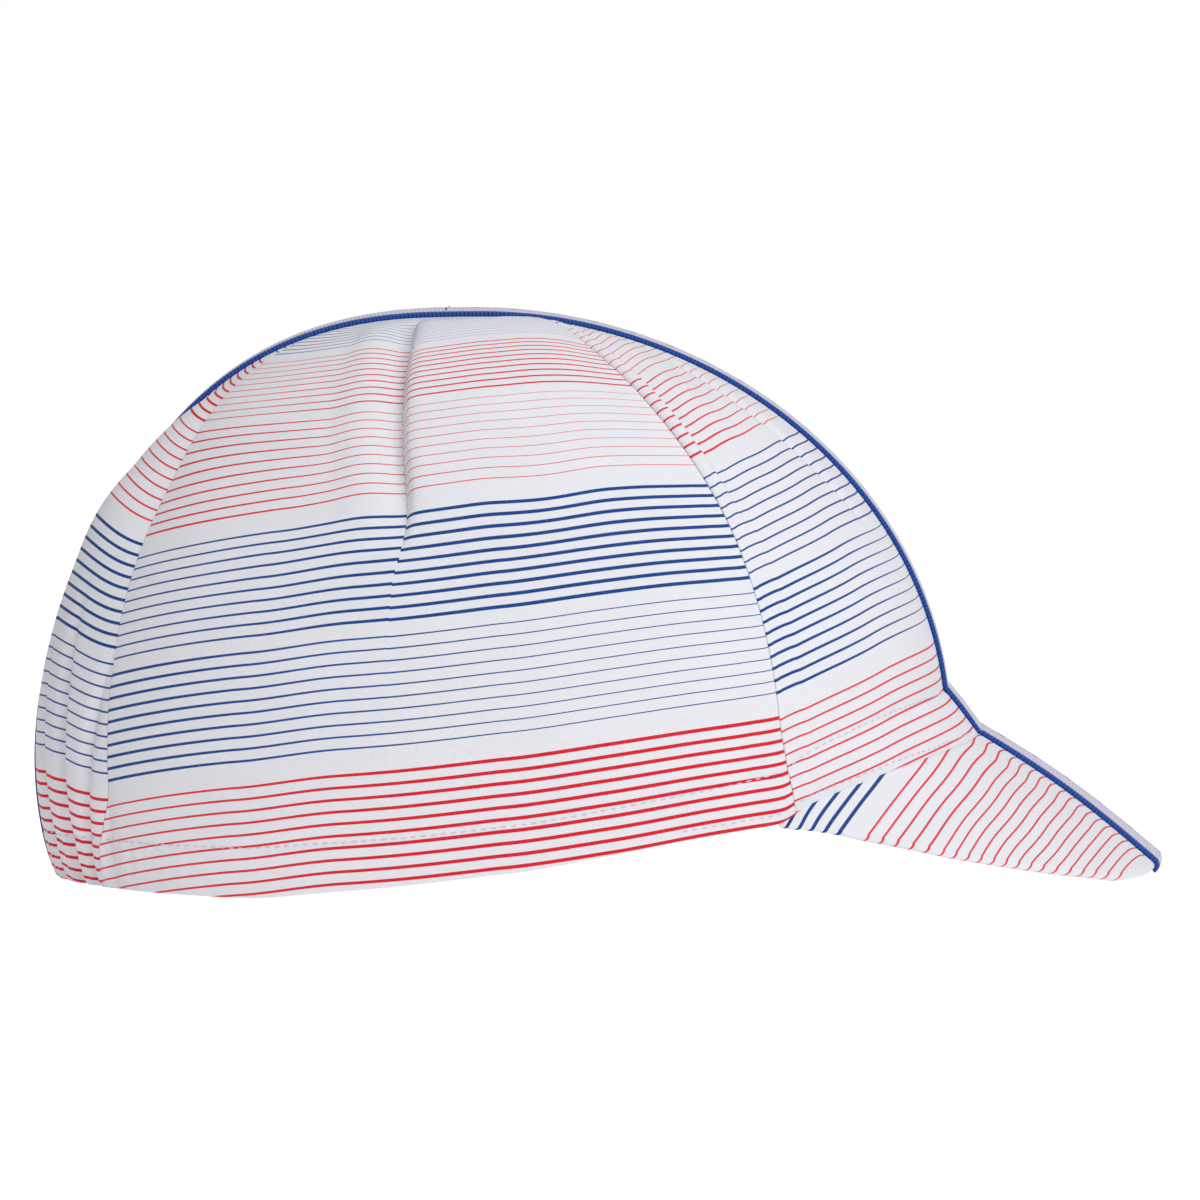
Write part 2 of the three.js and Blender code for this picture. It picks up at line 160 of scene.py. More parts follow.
# Grids: columns and rows of each piece of cloth
SIDE_COLUMNS = (96, 110)
FRONT_COLUMNS = (120,)
REAR_COLUMNS = (90,)
SIDE_ROWS = 150
END_PANEL_ROWS = 140
TAPE_COLUMNS = 41
TAPE_ROWS = {"back": 130, "front": 120, "peak": 60, "round": 15}
PEAK_COLUMNS = 221
PEAK_ROWS = 60
PEAK_ROUND_ROWS = 20

# The frame's X of the middle of the rim, about which every shape here is worked out.
RIM_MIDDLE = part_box("crown_tape")[1].x / MM - RIM_LENGTH / 2 - TAPE_STAND

# Studio: lamps are a name, a place and a size in metres, and a power in watts
FLOOR_GAP = 0.0002
FLOOR_SIZE = 8
FLOOR_WHITE = (0.88, 0.88, 0.88, 1)
FLOOR_GLOW = 0.32
FLOOR_SHOWN_GLOW = 0.85
SURROUND_LIGHT = 0.34
LAMPS = (
    ("key lamp", (0.9, -1.35, 0.9), 0.9, 11),
    ("fill lamp", (-0.9, -1.2, 0.4), 1.0, 0.5),
    ("top lamp", (0.25, -0.25, 1.4), 1.0, 7.5),
)
LAMP_AIM = (0, 0, 0.05)

# Camera: degrees round and up, metres away and above the floor, and the picture in pixels
VIEW_AZIMUTH = 1.5
VIEW_ELEVATION = 3.5
VIEW_DISTANCE = 1.7
VIEW_HEIGHT = 0.064
PICTURE_WIDTH = 1200
PIXELS_A_MM = 4.4
PICTURE_SHIFT = (1, -13)
FILM_WIDTH = 36

# Print: lines of one spacing in groups of ten, two groups to a colour
LINE_SPACING = 2.7
GROUP_LINES = 10
GROUP_GAP = 1.42
COLOUR_GAP = 2.2
BLUE_START = 32.0
INK_EDGE = 0.06
PALE_WIDTHS = (0.2, 0.8)
FIRST_SHARES = (-0.1, 0.75)
FIRST_WIDTHS = (0.73, 0.25)
SECOND_SHARES = (0.0, 0.7)
SECOND_WIDTHS = (0.44, 0.86)
CROWN_FADE = (80.0, 100.0, 1.0, 0.72)
REAR_FADE = (35.0, 60.0, 0.82, 0.85)
PEAK_BLUE_START = 5.2
PEAK_PRINT_START = 100.8
PEAK_RED_LINES = 20
PEAK_LINE_WIDTHS = {"red": 0.45, "blue": 0.8}

# Print on the crown: millimetres that the lines are moved up by, the millimetres of cloth
# above the rim (ARCS) and the angles or climbs between which that comes and goes
TOP_ARC = 95
TOP_BEND = 300
SIDE_LOW_ARCS = (0, 45)
SIDE_FOOT_ARCS = (0, 25)
SIDE_FOOT_ANGLES = (62, 80)
BACK_RISE = {"height": 7.5, "start": 108, "span": 35, "power": 1.5}
BACK_RISE_ARCS = (85, 112)
FRONT_RISE = {"height": 3.2, "start": 92, "span": -30, "power": 2}
FRONT_RISE_ARCS = (20, 75)
TUCK_ARC = 88
TUCK_CROWD = {"height": 1.6, "reach": 15}
TUCK_SAG = {"height": 0.9, "angle": 84, "angles": 9, "reach": 25}
TUCK_HOLD = 22
TUCK_END_ANGLES = (116, 140)
FRONT_STEP = 0.9
FRONT_STEP_ARCS = (30, 60)
REAR_START = 1.2
REAR_SLANT = 4.5
REAR_SLANT_ANGLES = 22

# Print on the peak: how the lines slant back towards the corners, hook beside the tape, bow
# between them and draw closer towards the tip
PEAK_SLANT = 0.27
PEAK_CORNER_SLANT = 0.008
PEAK_CORNER_ASIDE = 40
PEAK_HOOK = 0.8
PEAK_HOOK_WIDTH = 4
PEAK_BOW = 1.9
PEAK_BOW_ASIDES = (13, 27)
PEAK_FLAT_ASIDES = (50, 66)
PEAK_ROUND_SHARE = 0.5
PEAK_CLOSER = {"start": 12.8, "share": 0.23}
PEAK_CLOSEST = {"start": 22, "bend": 0.006}

# Colours, linear
CLOTH_WHITES = ((0.775, 0.78, 0.83, 1), (0.81, 0.815, 0.86, 1))
INK = {
    "blue": (0.0006, 0.050, 0.250, 1),
    "pale_blue": (0.03, 0.10, 0.33, 1),
    "red": (0.70, 0.006, 0.019, 1),
    "pale_red": (0.78, 0.06, 0.07, 1),
}
# Tape blues and pales, each pair from a rib's groove to its crest: the step between them is
# painted shade and painted highlight on the ribs
SHADED_LIT_TAPE_BLUES = ((0.003, 0.035, 0.22, 1), (0.006, 0.085, 0.42, 1))
SHADED_LIT_TAPE_PALES = ((0.66, 0.62, 0.76, 1), (0.74, 0.70, 0.83, 1))
TAPE_MOTIF = (0.22, 0.26, 0.58, 1)
THREAD = (0.74, 0.66, 0.80)

# Noise in the finishes: sizes per millimetre, and how much of it shows
GRAIN = {"scale": 0.9, "detail": 3.0, "height": 1.6}
SHADE_SCALE = 0.05
WORN_INK = {"scale": 2.2, "spread": 0.14, "least": 0.92}
PLAIN_SHADE = {"scale": 0.3, "least": 0.9}


# Curves and small formulas


def curve(*rows):
    """A smooth curve through rows of (at, value) that never overshoots them: a cubic on each
    stretch, whose end slopes are the harmonic means of the slopes beside each row."""
    at, value = np.array(rows, float).T
    steep = np.diff(value) / np.diff(at)
    before, after = np.r_[steep[:1], steep], np.r_[steep, steep[-1:]]
    same = before * after > 0
    slopes = np.where(same, 2 * before * after / np.where(same, before + after, 1), 0)

    def value_at(x):
        x = np.clip(x, at[0], at[-1])
        i = np.clip(np.searchsorted(at, x) - 1, 0, len(steep) - 1)
        width = at[i + 1] - at[i]
        t = (x - at[i]) / width
        bend = t * (1 - t) * ((1 - t) * slopes[i] - t * slopes[i + 1])
        return lerp(value[i], value[i + 1], t * t * (3 - 2 * t)) + width * bend

    return value_at


def lerp(a, b, share):
    return a + (b - a) * share


def smooth(x, low, high):
    t = np.clip((x - low) / (high - low), 0, 1)
    return t * t * (3 - 2 * t)


def bump(x):
    """A rounded bump one unit high and two wide."""
    return np.where(np.abs(x) < 1, np.cos(np.pi / 2 * np.clip(x, -1, 1)) ** 2, 0.0)


def unit(v):
    return v / np.linalg.norm(v, axis=-1, keepdims=True)


def signed_power(x, power):
    return np.sign(x) * np.abs(x) ** power


# Angles in degrees: 0 is the brow and 180 the back, and climb is 0 at the rim and 90 at the
# apex. Lifts and strengths are shares.
rim_lift = curve(
    (0, 1), (20, 0.95), (35, 0.865), (46, 0.745), (53.8, 0.63), (57.5, 0.527), (62, 0.49),
    (70, 0.43), (80, 0.325), (90, 0.21), (100, 0.125), (110, 0.06), (122, 0), (180, 0),
)
front_seam = curve(
    (0, 55.5), (11, 57.5), (31, 57.7), (56, 60), (74, 61.5), (79, 67), (83, 81), (86, 90)
)
rear_seam = curve(
    (0, 148), (8, 143.3), (17, 144.8), (31, 148), (45, 151.5), (65, 160.5), (90, 170)
)
tuck_line = curve((30, 103), (37, 102), (50, 104.8), (63, 108.7), (71, 112.5), (78, 120))
brow_crease_line = curve((25, 19), (38, 25), (48, 28.5), (62, 30))
tuck_strength = curve((33, 0), (46, 1), (72, 1), (82, 0))
ridge_strength = curve((30, 0), (37, 0.3), (44, 0.6), (51, 1), (74, 1), (84, 0.3))
crease_strength = curve((28, 0), (38, 1), (56, 1), (66, 0))
puff_strength = curve((2, 0.2), (9, 0.31), (21, 0.58), (28, 0.8), (35, 1), (42, 0.75), (58, 0))
peak_edge_lift = curve(
    (0, 1), (7, 0.95), (11.5, 0.877), (19.6, 0.72), (26.2, 0.578), (33.2, 0.455), (42.9, 0.3),
    (49.6, 0.21), (54.8, 0.15), (60, 0.084), (65, 0.058), (72, 0.055), (80, 0.09), (90, 0.145),
)

# Millimetres of cloth above the rim: the hem's stitches, and what the print starts with.
hem_line = curve((0, 13.6), (40, 12.6), (56, 11.4), (70, 10.3), (100, 10.5), (125, 11.3))
side_start = curve((57, 1.6), (70, 2), (80, 1.7), (90, 1.3), (100, 1.2), (110, 0.9), (122, 0.2))
front_start = curve(
    (7, 1.5), (20, 2.4), (28, 2.9), (33, 3.3), (40, 4.1), (46, 4.4), (53, 4.7), (56.5, 3.4)
)
tuck_taken = curve((33, 0), (40, 0.9), (58, 0.7), (80, 0.6))

# Pleats at the back
REAR_PLEATS = (
    # angle at the rim, angle where it runs out, climb it reaches, size as a share
    (161, 167, 32, 0.95),
    (154.5, 157, 30, 1),
    (150, 145, 24, 0.8),
    (144, 143, 10, 0.5),
)


# The crown


def front_weight(angle):
    return np.maximum(np.cos(angle), 0) ** 2


def rear_weight(angle):
    return np.maximum(-np.cos(angle), 0) ** 2


def rim_power(angle):
    return lerp(RIM_ROUNDNESS["side"], RIM_ROUNDNESS["back"], rear_weight(angle))


def dome_power(angle):
    side = DOME_ROUNDNESS["side"]
    return (
        side
        + (DOME_ROUNDNESS["front"] - side) * front_weight(angle)
        + (DOME_ROUNDNESS["back"] - side) * rear_weight(angle)
    )


def rim_point(angle):
    """The rim: a rounded oval, squarer at the back and lifted at the brow. Angles from 0 to
    half a turn are the right side, where Y is below 0."""
    power = 2 / rim_power(angle)
    return np.stack(
        [
            RIM_LENGTH / 2 * signed_power(np.cos(angle), power),
            -RIM_WIDTH / 2 * signed_power(np.sin(angle), power),
            FRONT_LIFT * rim_lift(np.degrees(np.abs(angle))),
        ],
        -1,
    )


def dome_share(angle, climb):
    """How far out from the apex the dome is at a climb, as a share of the rim."""
    return np.maximum(np.cos(climb), 0) ** (2 / dome_power(angle))


def crown_base(angle, climb):
    """The smooth crown: from each rim point the dome climbs to the apex on a rounded quarter
    arc. The back bulges out above the rim and the brow's hem band flares."""
    angle, climb = np.broadcast_arrays(angle, climb)
    rim = rim_point(angle)
    lift = np.maximum(np.sin(climb), 0) ** (2 / dome_power(angle))
    height = (CROWN_HEIGHT - rim[..., 2]) * lift
    front, rear = front_weight(angle), rear_weight(angle)
    rise = np.clip(height / BULGE_HEIGHT, 0, 1) ** BULGE_LOWNESS
    bulge = lerp(SIDE_BULGE, REAR_BULGE, rear) * (1 - front) * np.sin(np.pi * rise)
    inward = BAND_FLARE * front**2
    flare = inward * np.clip(1 - height / HEM_HEIGHT, 0, 1)
    span_x = rim[..., 0] - APEX_X
    span = np.hypot(span_x, rim[..., 1])
    share = dome_share(angle, climb) * (1 - inward / span) + (bulge + flare) / span
    return np.stack(
        [APEX_X + span_x * share, rim[..., 1] * share, rim[..., 2] + height], -1
    )


def normal_of(surface, u, w, step=1e-3):
    """Unit normal of a surface of two parameters, from its two slopes."""
    along = surface(u + step, w) - surface(u - step, w)
    up = surface(u, w + step) - surface(u, w - step)
    return unit(np.cross(up, along))


def level_at_rim(normal, height):
    """A normal turned level towards the rim, so that the rim's foot stays level."""
    normal = normal.copy()
    normal[..., 2] *= smooth(height, 0, HEM_HEIGHT)
    return unit(normal)


def crown_normal(angle, climb):
    """Unit normal of the smooth crown, turned level at the rim."""
    step = 1e-3
    normal = normal_of(crown_base, angle, np.clip(climb, step, np.pi / 2 - step), step)
    height = crown_base(angle, climb)[..., 2] - rim_point(angle)[..., 2]
    return level_at_rim(normal, height)


# Length of cloth up each meridian from the rim, worked out once on a fine net of angles and
# climbs and read between its points.
NET = 361
net_angles = np.linspace(0, np.pi, NET)[:, None]
net_climbs = np.linspace(0, np.pi / 2, NET)[None, :]
net_points = crown_base(net_angles, net_climbs)
net_steps = np.linalg.norm(np.diff(net_points, axis=1), axis=-1)
net_arc = np.concatenate([np.zeros((NET, 1)), np.cumsum(net_steps, axis=1)], axis=1)


def arc_above_rim(angle, climb):
    """Length of cloth from the rim up to a climb, along the meridian at an angle."""
    u = np.clip(angle / np.pi, 0, 1) * (NET - 1)
    w = np.clip(climb / (np.pi / 2), 0, 1) * (NET - 1)
    i = np.minimum(u.astype(int), NET - 2)
    j = np.minimum(w.astype(int), NET - 2)
    low = lerp(net_arc[i, j], net_arc[i, j + 1], w - j)
    high = lerp(net_arc[i + 1, j], net_arc[i + 1, j + 1], w - j)
    return lerp(low, high, u - i)


def climb_at_arc(angle, arc):
    """The climb at a length of cloth above the rim, at one angle."""
    row = net_arc[int(round(angle / np.pi * (NET - 1)))]
    return np.interp(arc, row, net_climbs[0])


def offset_from(line, angle, climb):
    """Distance along the cloth, in millimetres, towards the brow from a line of angles."""
    base = crown_base(angle, climb)
    reach = np.hypot(base[..., 0] - APEX_X, base[..., 1])
    return np.radians(line - np.degrees(angle)) * reach


# Folds of the panels


def rear_pleats(angle, climb):
    """Pleats gathered by the elastic: each a sharp valley in a soft one, deepest at the
    rim."""
    degrees = np.degrees(climb)
    depth = 0
    for foot, head, reach, size in REAR_PLEATS:
        share = degrees / reach
        offset = offset_from(lerp(foot, head, share), angle, climb)
        sharp = PLEAT_DEPTHS["sharp"] * np.exp(-np.abs(offset / PLEAT_WIDTHS["sharp"]))
        soft = PLEAT_DEPTHS["soft"] * bump(offset / PLEAT_WIDTHS["soft"])
        depth = depth + size * (sharp + soft) * (1 - smooth(share, PLEAT_FADE, 1))
    return -depth


def rear_puckers(angle, climb):
    """Small upright ripples in the hem at the back, closest together beside the seam."""
    degrees = np.degrees(angle)
    height = arc_above_rim(angle, climb)
    where = smooth(degrees, *PUCKER_ANGLES) * (1 - smooth(height, *PUCKER_HEIGHTS))
    drift = PUCKER_SHARES["drift"] * np.sin(degrees * PUCKER_PACES["drift"])
    coarse = np.sin(degrees * PUCKER_PACES["coarse"] + drift)
    fine = PUCKER_SHARES["fine"] * np.sin(degrees * PUCKER_PACES["fine"])
    return PUCKER * where * (coarse + fine)


def slow_waves(waves, offset, degrees):
    """Slow sine waves across the cloth, which grow over a range of climbs."""
    growth = smooth(degrees, *waves["climbs"])
    return waves["height"] * np.sin(offset / waves["length"] + waves["start"]) * growth


def side_folds(angle, climb):
    """Side panel: a tuck from the tape down. Its front lip is a rounded step up, with a
    valley and a soft hump behind it. Slow waves run beside it near the top."""
    degrees = np.degrees(climb)
    offset = offset_from(tuck_line(degrees), angle, climb)
    near = np.clip(offset / TUCK_ROUND, 0, 1)
    lip = TUCK_RISE * np.sqrt(1 - (1 - near) ** 2)
    lip = lip * np.exp(-((np.maximum(offset - TUCK_ROUND, 0) / TUCK_REACH) ** 2))
    width = np.where(offset < 0, TUCK_VALLEY_WIDTHS["behind"], TUCK_VALLEY_WIDTHS["under"])
    valley = TUCK_VALLEY * np.exp(-((offset / width) ** 2))
    hump = TUCK_HUMP * bump((offset + TUCK_HUMP_BACK) / TUCK_HUMP_WIDTH)
    tuck = tuck_strength(degrees) * (lip - valley + hump)
    ahead = slow_waves(WAVES_AHEAD, offset, degrees)
    ahead = ahead * bump((offset - WAVES_AHEAD_MIDDLE) / WAVES_AHEAD_REACH)
    behind = slow_waves(WAVES_BEHIND, offset, degrees) * (offset < 0)
    behind = behind * (1 - np.exp(-((offset / WAVES_BEHIND_CLEAR) ** 2)))
    return tuck + ahead + behind + rear_pleats(angle, climb) + rear_puckers(angle, climb)


def front_folds(angle, climb):
    """Front panel: a rounded ridge beside the seam, a sharp dip and a low swell beyond it,
    and a crease beside the tape."""
    degrees = np.degrees(climb)
    offset = offset_from(front_seam(degrees), angle, climb)
    across = np.clip(offset / SEAM_RIDGE_WIDTH, 0, 1)
    ridge = SEAM_RIDGE * np.sqrt(np.maximum(1 - (2 * across - 1) ** 2, 0))
    beyond = offset - SEAM_RIDGE_WIDTH
    dip = np.where(beyond > 0, np.exp(-beyond / SEAM_DIP_RUN), bump(beyond / SEAM_DIP_LIP))
    swell = SEAM_SWELL * bump((offset - SEAM_SWELL_AT) / SEAM_SWELL_WIDTH)
    folds = ridge_strength(degrees) * (ridge - SEAM_DIP * dip + swell)
    aside = offset_from(brow_crease_line(degrees), angle, climb)
    sharp = BROW_CREASE["sharp"] * np.exp(-np.abs(aside) / BROW_CREASE_WIDTHS["sharp"])
    soft = BROW_CREASE["soft"] * bump(aside / BROW_CREASE_WIDTHS["soft"])
    return folds - crease_strength(degrees) * (sharp + soft)


def rear_folds(angle, climb):
    """Rear panel: the cloth puffs out between the tape and the seam, and the pleats run
    through it."""
    degrees = np.degrees(climb)
    seam = np.abs(crown_base(np.radians(rear_seam(degrees)), climb)[..., 1]) - TAPE_WIDTH / 2
    beside = np.abs(crown_base(angle, climb)[..., 1]) - TAPE_WIDTH / 2
    share = np.clip(beside / np.maximum(seam, 1), 0, 1)
    puff = REAR_PUFF * puff_strength(degrees) * np.sin(np.pi * share)
    return puff + rear_pleats(angle, climb) + rear_puckers(angle, climb)


# The print on the crown


def print_height(angle, climb, shift):
    """Height in the print: the length of cloth above the rim, and what the panel's own cut
    adds to it."""
    arc = arc_above_rim(angle, climb)
    return arc + shift(np.degrees(angle), np.degrees(climb), arc)


def near_top(arc):
    """Near the apex the print runs ahead of the cloth, by a parabola of its length."""
    return np.maximum(arc - TOP_ARC, 0) ** 2 / TOP_BEND


def rise_beside(rise, degrees):
    """A rise that grows as a power of the angle past its start."""
    past = np.maximum((degrees - rise["start"]) / rise["span"], 0)
    return rise["height"] * past ** rise["power"]


def side_shift(degrees, climb, arc):
    """The lines rise towards both seams. The cloth taken up by the tuck sets them off there,
    and they sag a little in front of it."""
    low = side_start(degrees) - 1 + smooth(arc, *SIDE_LOW_ARCS)
    foot = (1 - smooth(arc, *SIDE_FOOT_ARCS)) * (1 - smooth(degrees, *SIDE_FOOT_ANGLES))
    back = rise_beside(BACK_RISE, degrees) * lerp(1, 0.5, smooth(arc, *BACK_RISE_ARCS))
    front = rise_beside(FRONT_RISE, degrees) * lerp(0.4, 1, smooth(arc, *FRONT_RISE_ARCS))
    crowded = TUCK_CROWD["height"] * np.exp((arc - TOP_ARC) / TUCK_CROWD["reach"])
    sag = TUCK_SAG["height"] * bump((degrees - TUCK_SAG["angle"]) / TUCK_SAG["angles"])
    ahead = crowded + sag * bump((arc - TUCK_ARC) / TUCK_SAG["reach"])
    taken = tuck_taken(climb) - bump((arc - TUCK_ARC) / TUCK_HOLD)
    behind = near_top(arc) + taken * (1 - smooth(degrees, *TUCK_END_ANGLES))
    return low - foot + back + front + np.where(degrees > tuck_line(climb), behind, ahead)


def front_shift(degrees, climb, arc):
    """The lines follow the brow's rim, and step up a little above its hem."""
    return near_top(arc) + front_start(degrees) + FRONT_STEP * smooth(arc, *FRONT_STEP_ARCS)


def rear_shift(degrees, climb, arc):
    """The lines slant up towards the seam, ever more steeply."""
    from_tape = rear_seam(climb) + REAR_SLANT_ANGLES - degrees
    slant = smooth(from_tape, 0, REAR_SLANT_ANGLES) ** 1.5
    return near_top(arc) + REAR_START + REAR_SLANT * slant


# Meshes


def grid_faces(at, flip):
    """Quads of a grid of corner numbers, facing as the rows' way crossed with the columns'."""
    quads = np.stack([at[:-1, :-1], at[1:, :-1], at[1:, 1:], at[:-1, 1:]], -1).reshape(-1, 4)
    return quads[:, ::-1] if flip else quads


def strip_faces(one, other, flip):
    """Quads that join two rows of corner numbers."""
    quads = np.stack([one[:-1], one[1:], other[1:], other[:-1]], -1)
    return quads[:, ::-1] if flip else quads


def make_mesh(name, points, quads, material, uv=None, values=None):
    """A mesh object from points in the rim's frame, in millimetres, and quads."""
    points = (np.asarray(points, float).reshape(-1, 3) + (RIM_MIDDLE, 0, 0)) * MM
    mesh = bpy.data.meshes.new(name)
    mesh.vertices.add(len(points))
    mesh.vertices.foreach_set("co", points.astype(np.float32).ravel())
    mesh.loops.add(quads.size)
    mesh.loops.foreach_set("vertex_index", quads.astype(np.int32).ravel())
    mesh.polygons.add(len(quads))
    mesh.polygons.foreach_set("loop_start", np.arange(0, quads.size, 4, dtype=np.int32))
    mesh.update(calc_edges=True)
    mesh.validate()
    mesh.polygons.foreach_set("use_smooth", np.ones(len(mesh.polygons), bool))
    if uv is not None:
        layer = mesh.uv_layers.new(name="cloth")
        corners = np.zeros(len(mesh.loops), np.int32)
        mesh.loops.foreach_get("vertex_index", corners)
        layer.data.foreach_set("uv", (uv.reshape(-1, 2)[corners] * MM).astype(np.float32).ravel())
    if values is not None:
        attribute = mesh.attributes.new("share", "FLOAT", "POINT")
        attribute.data.foreach_set("value", values.astype(np.float32).ravel())
    mesh.materials.append(material)
    piece = bpy.data.objects.new(name, mesh)
    bpy.context.scene.collection.objects.link(piece)
    return piece


def shell(name, outer, inner, uv, share, material, mirrored=False):
    """A closed wall from an outer and an inner grid, joined round their four edges, with the
    faces turned so that the outer grid looks out."""
    rows, columns = outer.shape[:2]
    outer, inner = (grid * (1, -1 if mirrored else 1, 1) for grid in (outer, inner))
    flip = bool(np.sum(grid_normals(outer) * (outer - inner)) < 0)
    top = np.arange(rows * columns).reshape(rows, columns)
    under = top + top.size
    quads = [
        grid_faces(top, flip),
        grid_faces(under, not flip),
        strip_faces(top[0], under[0], flip),
        strip_faces(top[-1], under[-1], not flip),
        strip_faces(top[:, 0], under[:, 0], not flip),
        strip_faces(top[:, -1], under[:, -1], flip),
    ]
    points = np.concatenate([outer.reshape(-1, 3), inner.reshape(-1, 3)])
    both_uv = np.concatenate([uv.reshape(-1, 2)] * 2)
    both_shares = np.concatenate([share.ravel()] * 2)
    return make_mesh(name, points, np.concatenate(quads), material, both_uv, both_shares)


def grid_normals(points):
    """Unit normals of a grid: the way from row to row crossed with that along the columns."""
    return unit(np.cross(np.gradient(points, axis=0), np.gradient(points, axis=1)))


def spread(rails, counts, ease=0.75):
    """Columns between rails, each stretch with its own count and closer near its ends.
    Gives the stretch's number and the share along it for each column."""
    stretches, shares = [], []
    for i in range(len(rails) - 1):
        t = np.linspace(0, 1, counts[i] + 1)[(1 if i else 0):]
        shares.append(t - ease * np.sin(TURN * t) / TURN)
        stretches.append(np.full(len(t), i))
    return np.concatenate(stretches), np.concatenate(shares)


def crown_panel(rails, counts, folds, shift, arcs):
    """One panel of the crown between its first and last rail, which are angles at each climb.
    Its edges roll in at the seams, its foot is rounded and its hem is thicker inside. Gives
    the outer and inner grids, the cloth's own coordinates, the share across and the length
    of cloth above the rim."""
    climbs = arcs[:, None]
    stretches, shares = spread(rails, counts)
    edges = np.stack([rail(climbs[:, 0]) for rail in rails], -1)
    angle = lerp(edges[:, stretches], edges[:, stretches + 1], shares[None, :])
    climb = np.broadcast_to(climbs, angle.shape)
    base = crown_base(angle, climb)
    steps = np.linalg.norm(np.diff(base, axis=1), axis=-1)
    run = np.concatenate([np.zeros((len(arcs), 1)), np.cumsum(steps, axis=1)], axis=1)
    total = run[:, -1:]
    arc = arc_above_rim(angle, climb)
    free = smooth(np.abs(base[..., 1]) - TAPE_WIDTH / 2, FOLD_START, FOLD_FULL)
    from_seam = np.clip(np.minimum(run, total - run) / SEAM_ROLL, 0, 1)
    roll = SEAM_ROLL * (1 - np.sqrt(1 - (1 - from_seam) ** 2)) * smooth(free, 0, 0.3)
    hem_top = hem_line(np.degrees(angle))
    groove = HEM_GROOVE * np.exp(-(((arc - hem_top) / HEM_GROOVE_WIDTH) ** 2))
    normal = crown_normal(angle, climb)
    height = base[..., 2] - rim_point(angle)[..., 2]
    lift = folds(angle, climb) * free - roll - groove
    outer = base + normal * lift[..., None]
    outward = level_at_rim(-grid_normals(outer), height)
    hem = HEM_EXTRA * (1 - smooth(arc, hem_top - HEM_FADE, hem_top + HEM_FADE))
    foot = HEM_ROUND * (1 - np.sqrt(1 - (1 - np.clip(arc / HEM_ROUND, 0, 1)) ** 2))
    inner = outer - outward * (WALL + hem - foot)[..., None]
    outer = outer - outward * foot[..., None]
    uv = np.stack([run - total / 2, print_height(angle, climb, shift)], -1)
    share = run / total
    return outer, inner, uv, share, arc


def angle_beside_middle(distance, share_at, at_back):
    """Angle at which a level of the crown is a given distance from the middle line."""
    angle = np.full_like(distance, np.pi if at_back else 0.0)
    for _ in range(5):
        share = np.clip(distance / (RIM_WIDTH / 2 * np.maximum(share_at(angle), 1e-6)), 0, 1)
        turn = np.arcsin(share ** (rim_power(angle) / 2))
        angle = np.pi - turn if at_back else turn
    return angle


def tape_edge(climb, at_back):
    """The angle of a panel's edge where it ends under the tape."""
    under = np.full_like(climb, TAPE_WIDTH / 2 - TAPE_LAP)
    return angle_beside_middle(under, lambda angle: dome_share(angle, climb), at_back)


def gap_at(climb):
    """Half a seam's gap, as an angle."""
    reach = crown_base(np.full_like(climb, np.pi / 2), climb)
    return SEAM_GAP / 2 / np.hypot(reach[..., 0] - APEX_X, reach[..., 1])


def front_seam_at(climb):
    return np.radians(front_seam(np.degrees(climb)))


def rear_seam_at(climb):
    return np.radians(rear_seam(np.degrees(climb)))


def side_rear_edge(climb):
    return np.minimum(rear_seam_at(climb), tape_edge(climb, True))


def tuck_at(climb):
    return np.radians(tuck_line(np.degrees(climb)))


def seam_top(is_clear):
    """The highest climb at which a seam is still clear of the tape's edge line."""
    climbs = np.radians(np.arange(0, 89.9, 0.25))
    return climbs[np.argmin(is_clear(climbs)) - 1]


front_top = seam_top(lambda climb: front_seam_at(climb) > tape_edge(climb, False))
rear_top = seam_top(lambda climb: rear_seam_at(climb) < tape_edge(climb, True))


def rows_to(top, angle, count):
    """Climbs of even steps of cloth from the rim to a top, with close rows in the foot."""
    length = float(arc_above_rim(np.array(angle), np.array(top)))
    foot = HEM_ROUND * (1 - np.cos(np.linspace(0, np.pi / 2, 5)))
    rest = np.linspace(HEM_ROUND, length, count)[1:]
    return climb_at_arc(angle, np.r_[foot, rest])


# Materials


def new_material(name):
    """A new material, its nodes, their links and its shader."""
    material = bpy.data.materials.new(name)
    material.use_nodes = True
    nodes = material.node_tree.nodes
    return material, nodes, material.node_tree.links, nodes["Principled BSDF"]


def math_node(tree, operation, *inputs, clamp=False):
    """One Math node. Its inputs are sockets or numbers."""
    node = tree.nodes.new("ShaderNodeMath")
    node.operation = operation
    node.use_clamp = clamp
    for socket, value in zip(node.inputs, inputs):
        if isinstance(value, bpy.types.NodeSocket):
            tree.links.new(value, socket)
        else:
            socket.default_value = value
    return node.outputs[0]


def mix_colour(tree, share, a, b):
    node = tree.nodes.new("ShaderNodeMix")
    node.data_type = "RGBA"
    for socket, value in zip((node.inputs[0], node.inputs[6], node.inputs[7]), (share, a, b)):
        if isinstance(value, bpy.types.NodeSocket):
            tree.links.new(value, socket)
        else:
            socket.default_value = value
    return node.outputs[2]


def noise(tree, vector, scale, detail=2.0):
    node = tree.nodes.new("ShaderNodeTexNoise")
    node.inputs["Scale"].default_value = scale
    node.inputs["Detail"].default_value = detail
    tree.links.new(vector, node.inputs["Vector"])
    return node.outputs["Fac"]


def ramp(tree, value, low, high, start=0.0, end=1.0):
    """A smooth ramp from start, where the value is at its low, to end at its high."""
    node = tree.nodes.new("ShaderNodeMapRange")
    node.interpolation_type = "SMOOTHSTEP"
    for socket, number in zip(node.inputs[1:5], (low, high, start, end)):
        socket.default_value = number
    tree.links.new(value, node.inputs[0])
    return node.outputs[0]


def inked(tree, away, half):
    """Ink inside half a line's width from its middle, with a soft edge."""
    inside = math_node(tree, "SUBTRACT", half, away)
    return math_node(tree, "DIVIDE", inside, INK_EDGE, clamp=True)


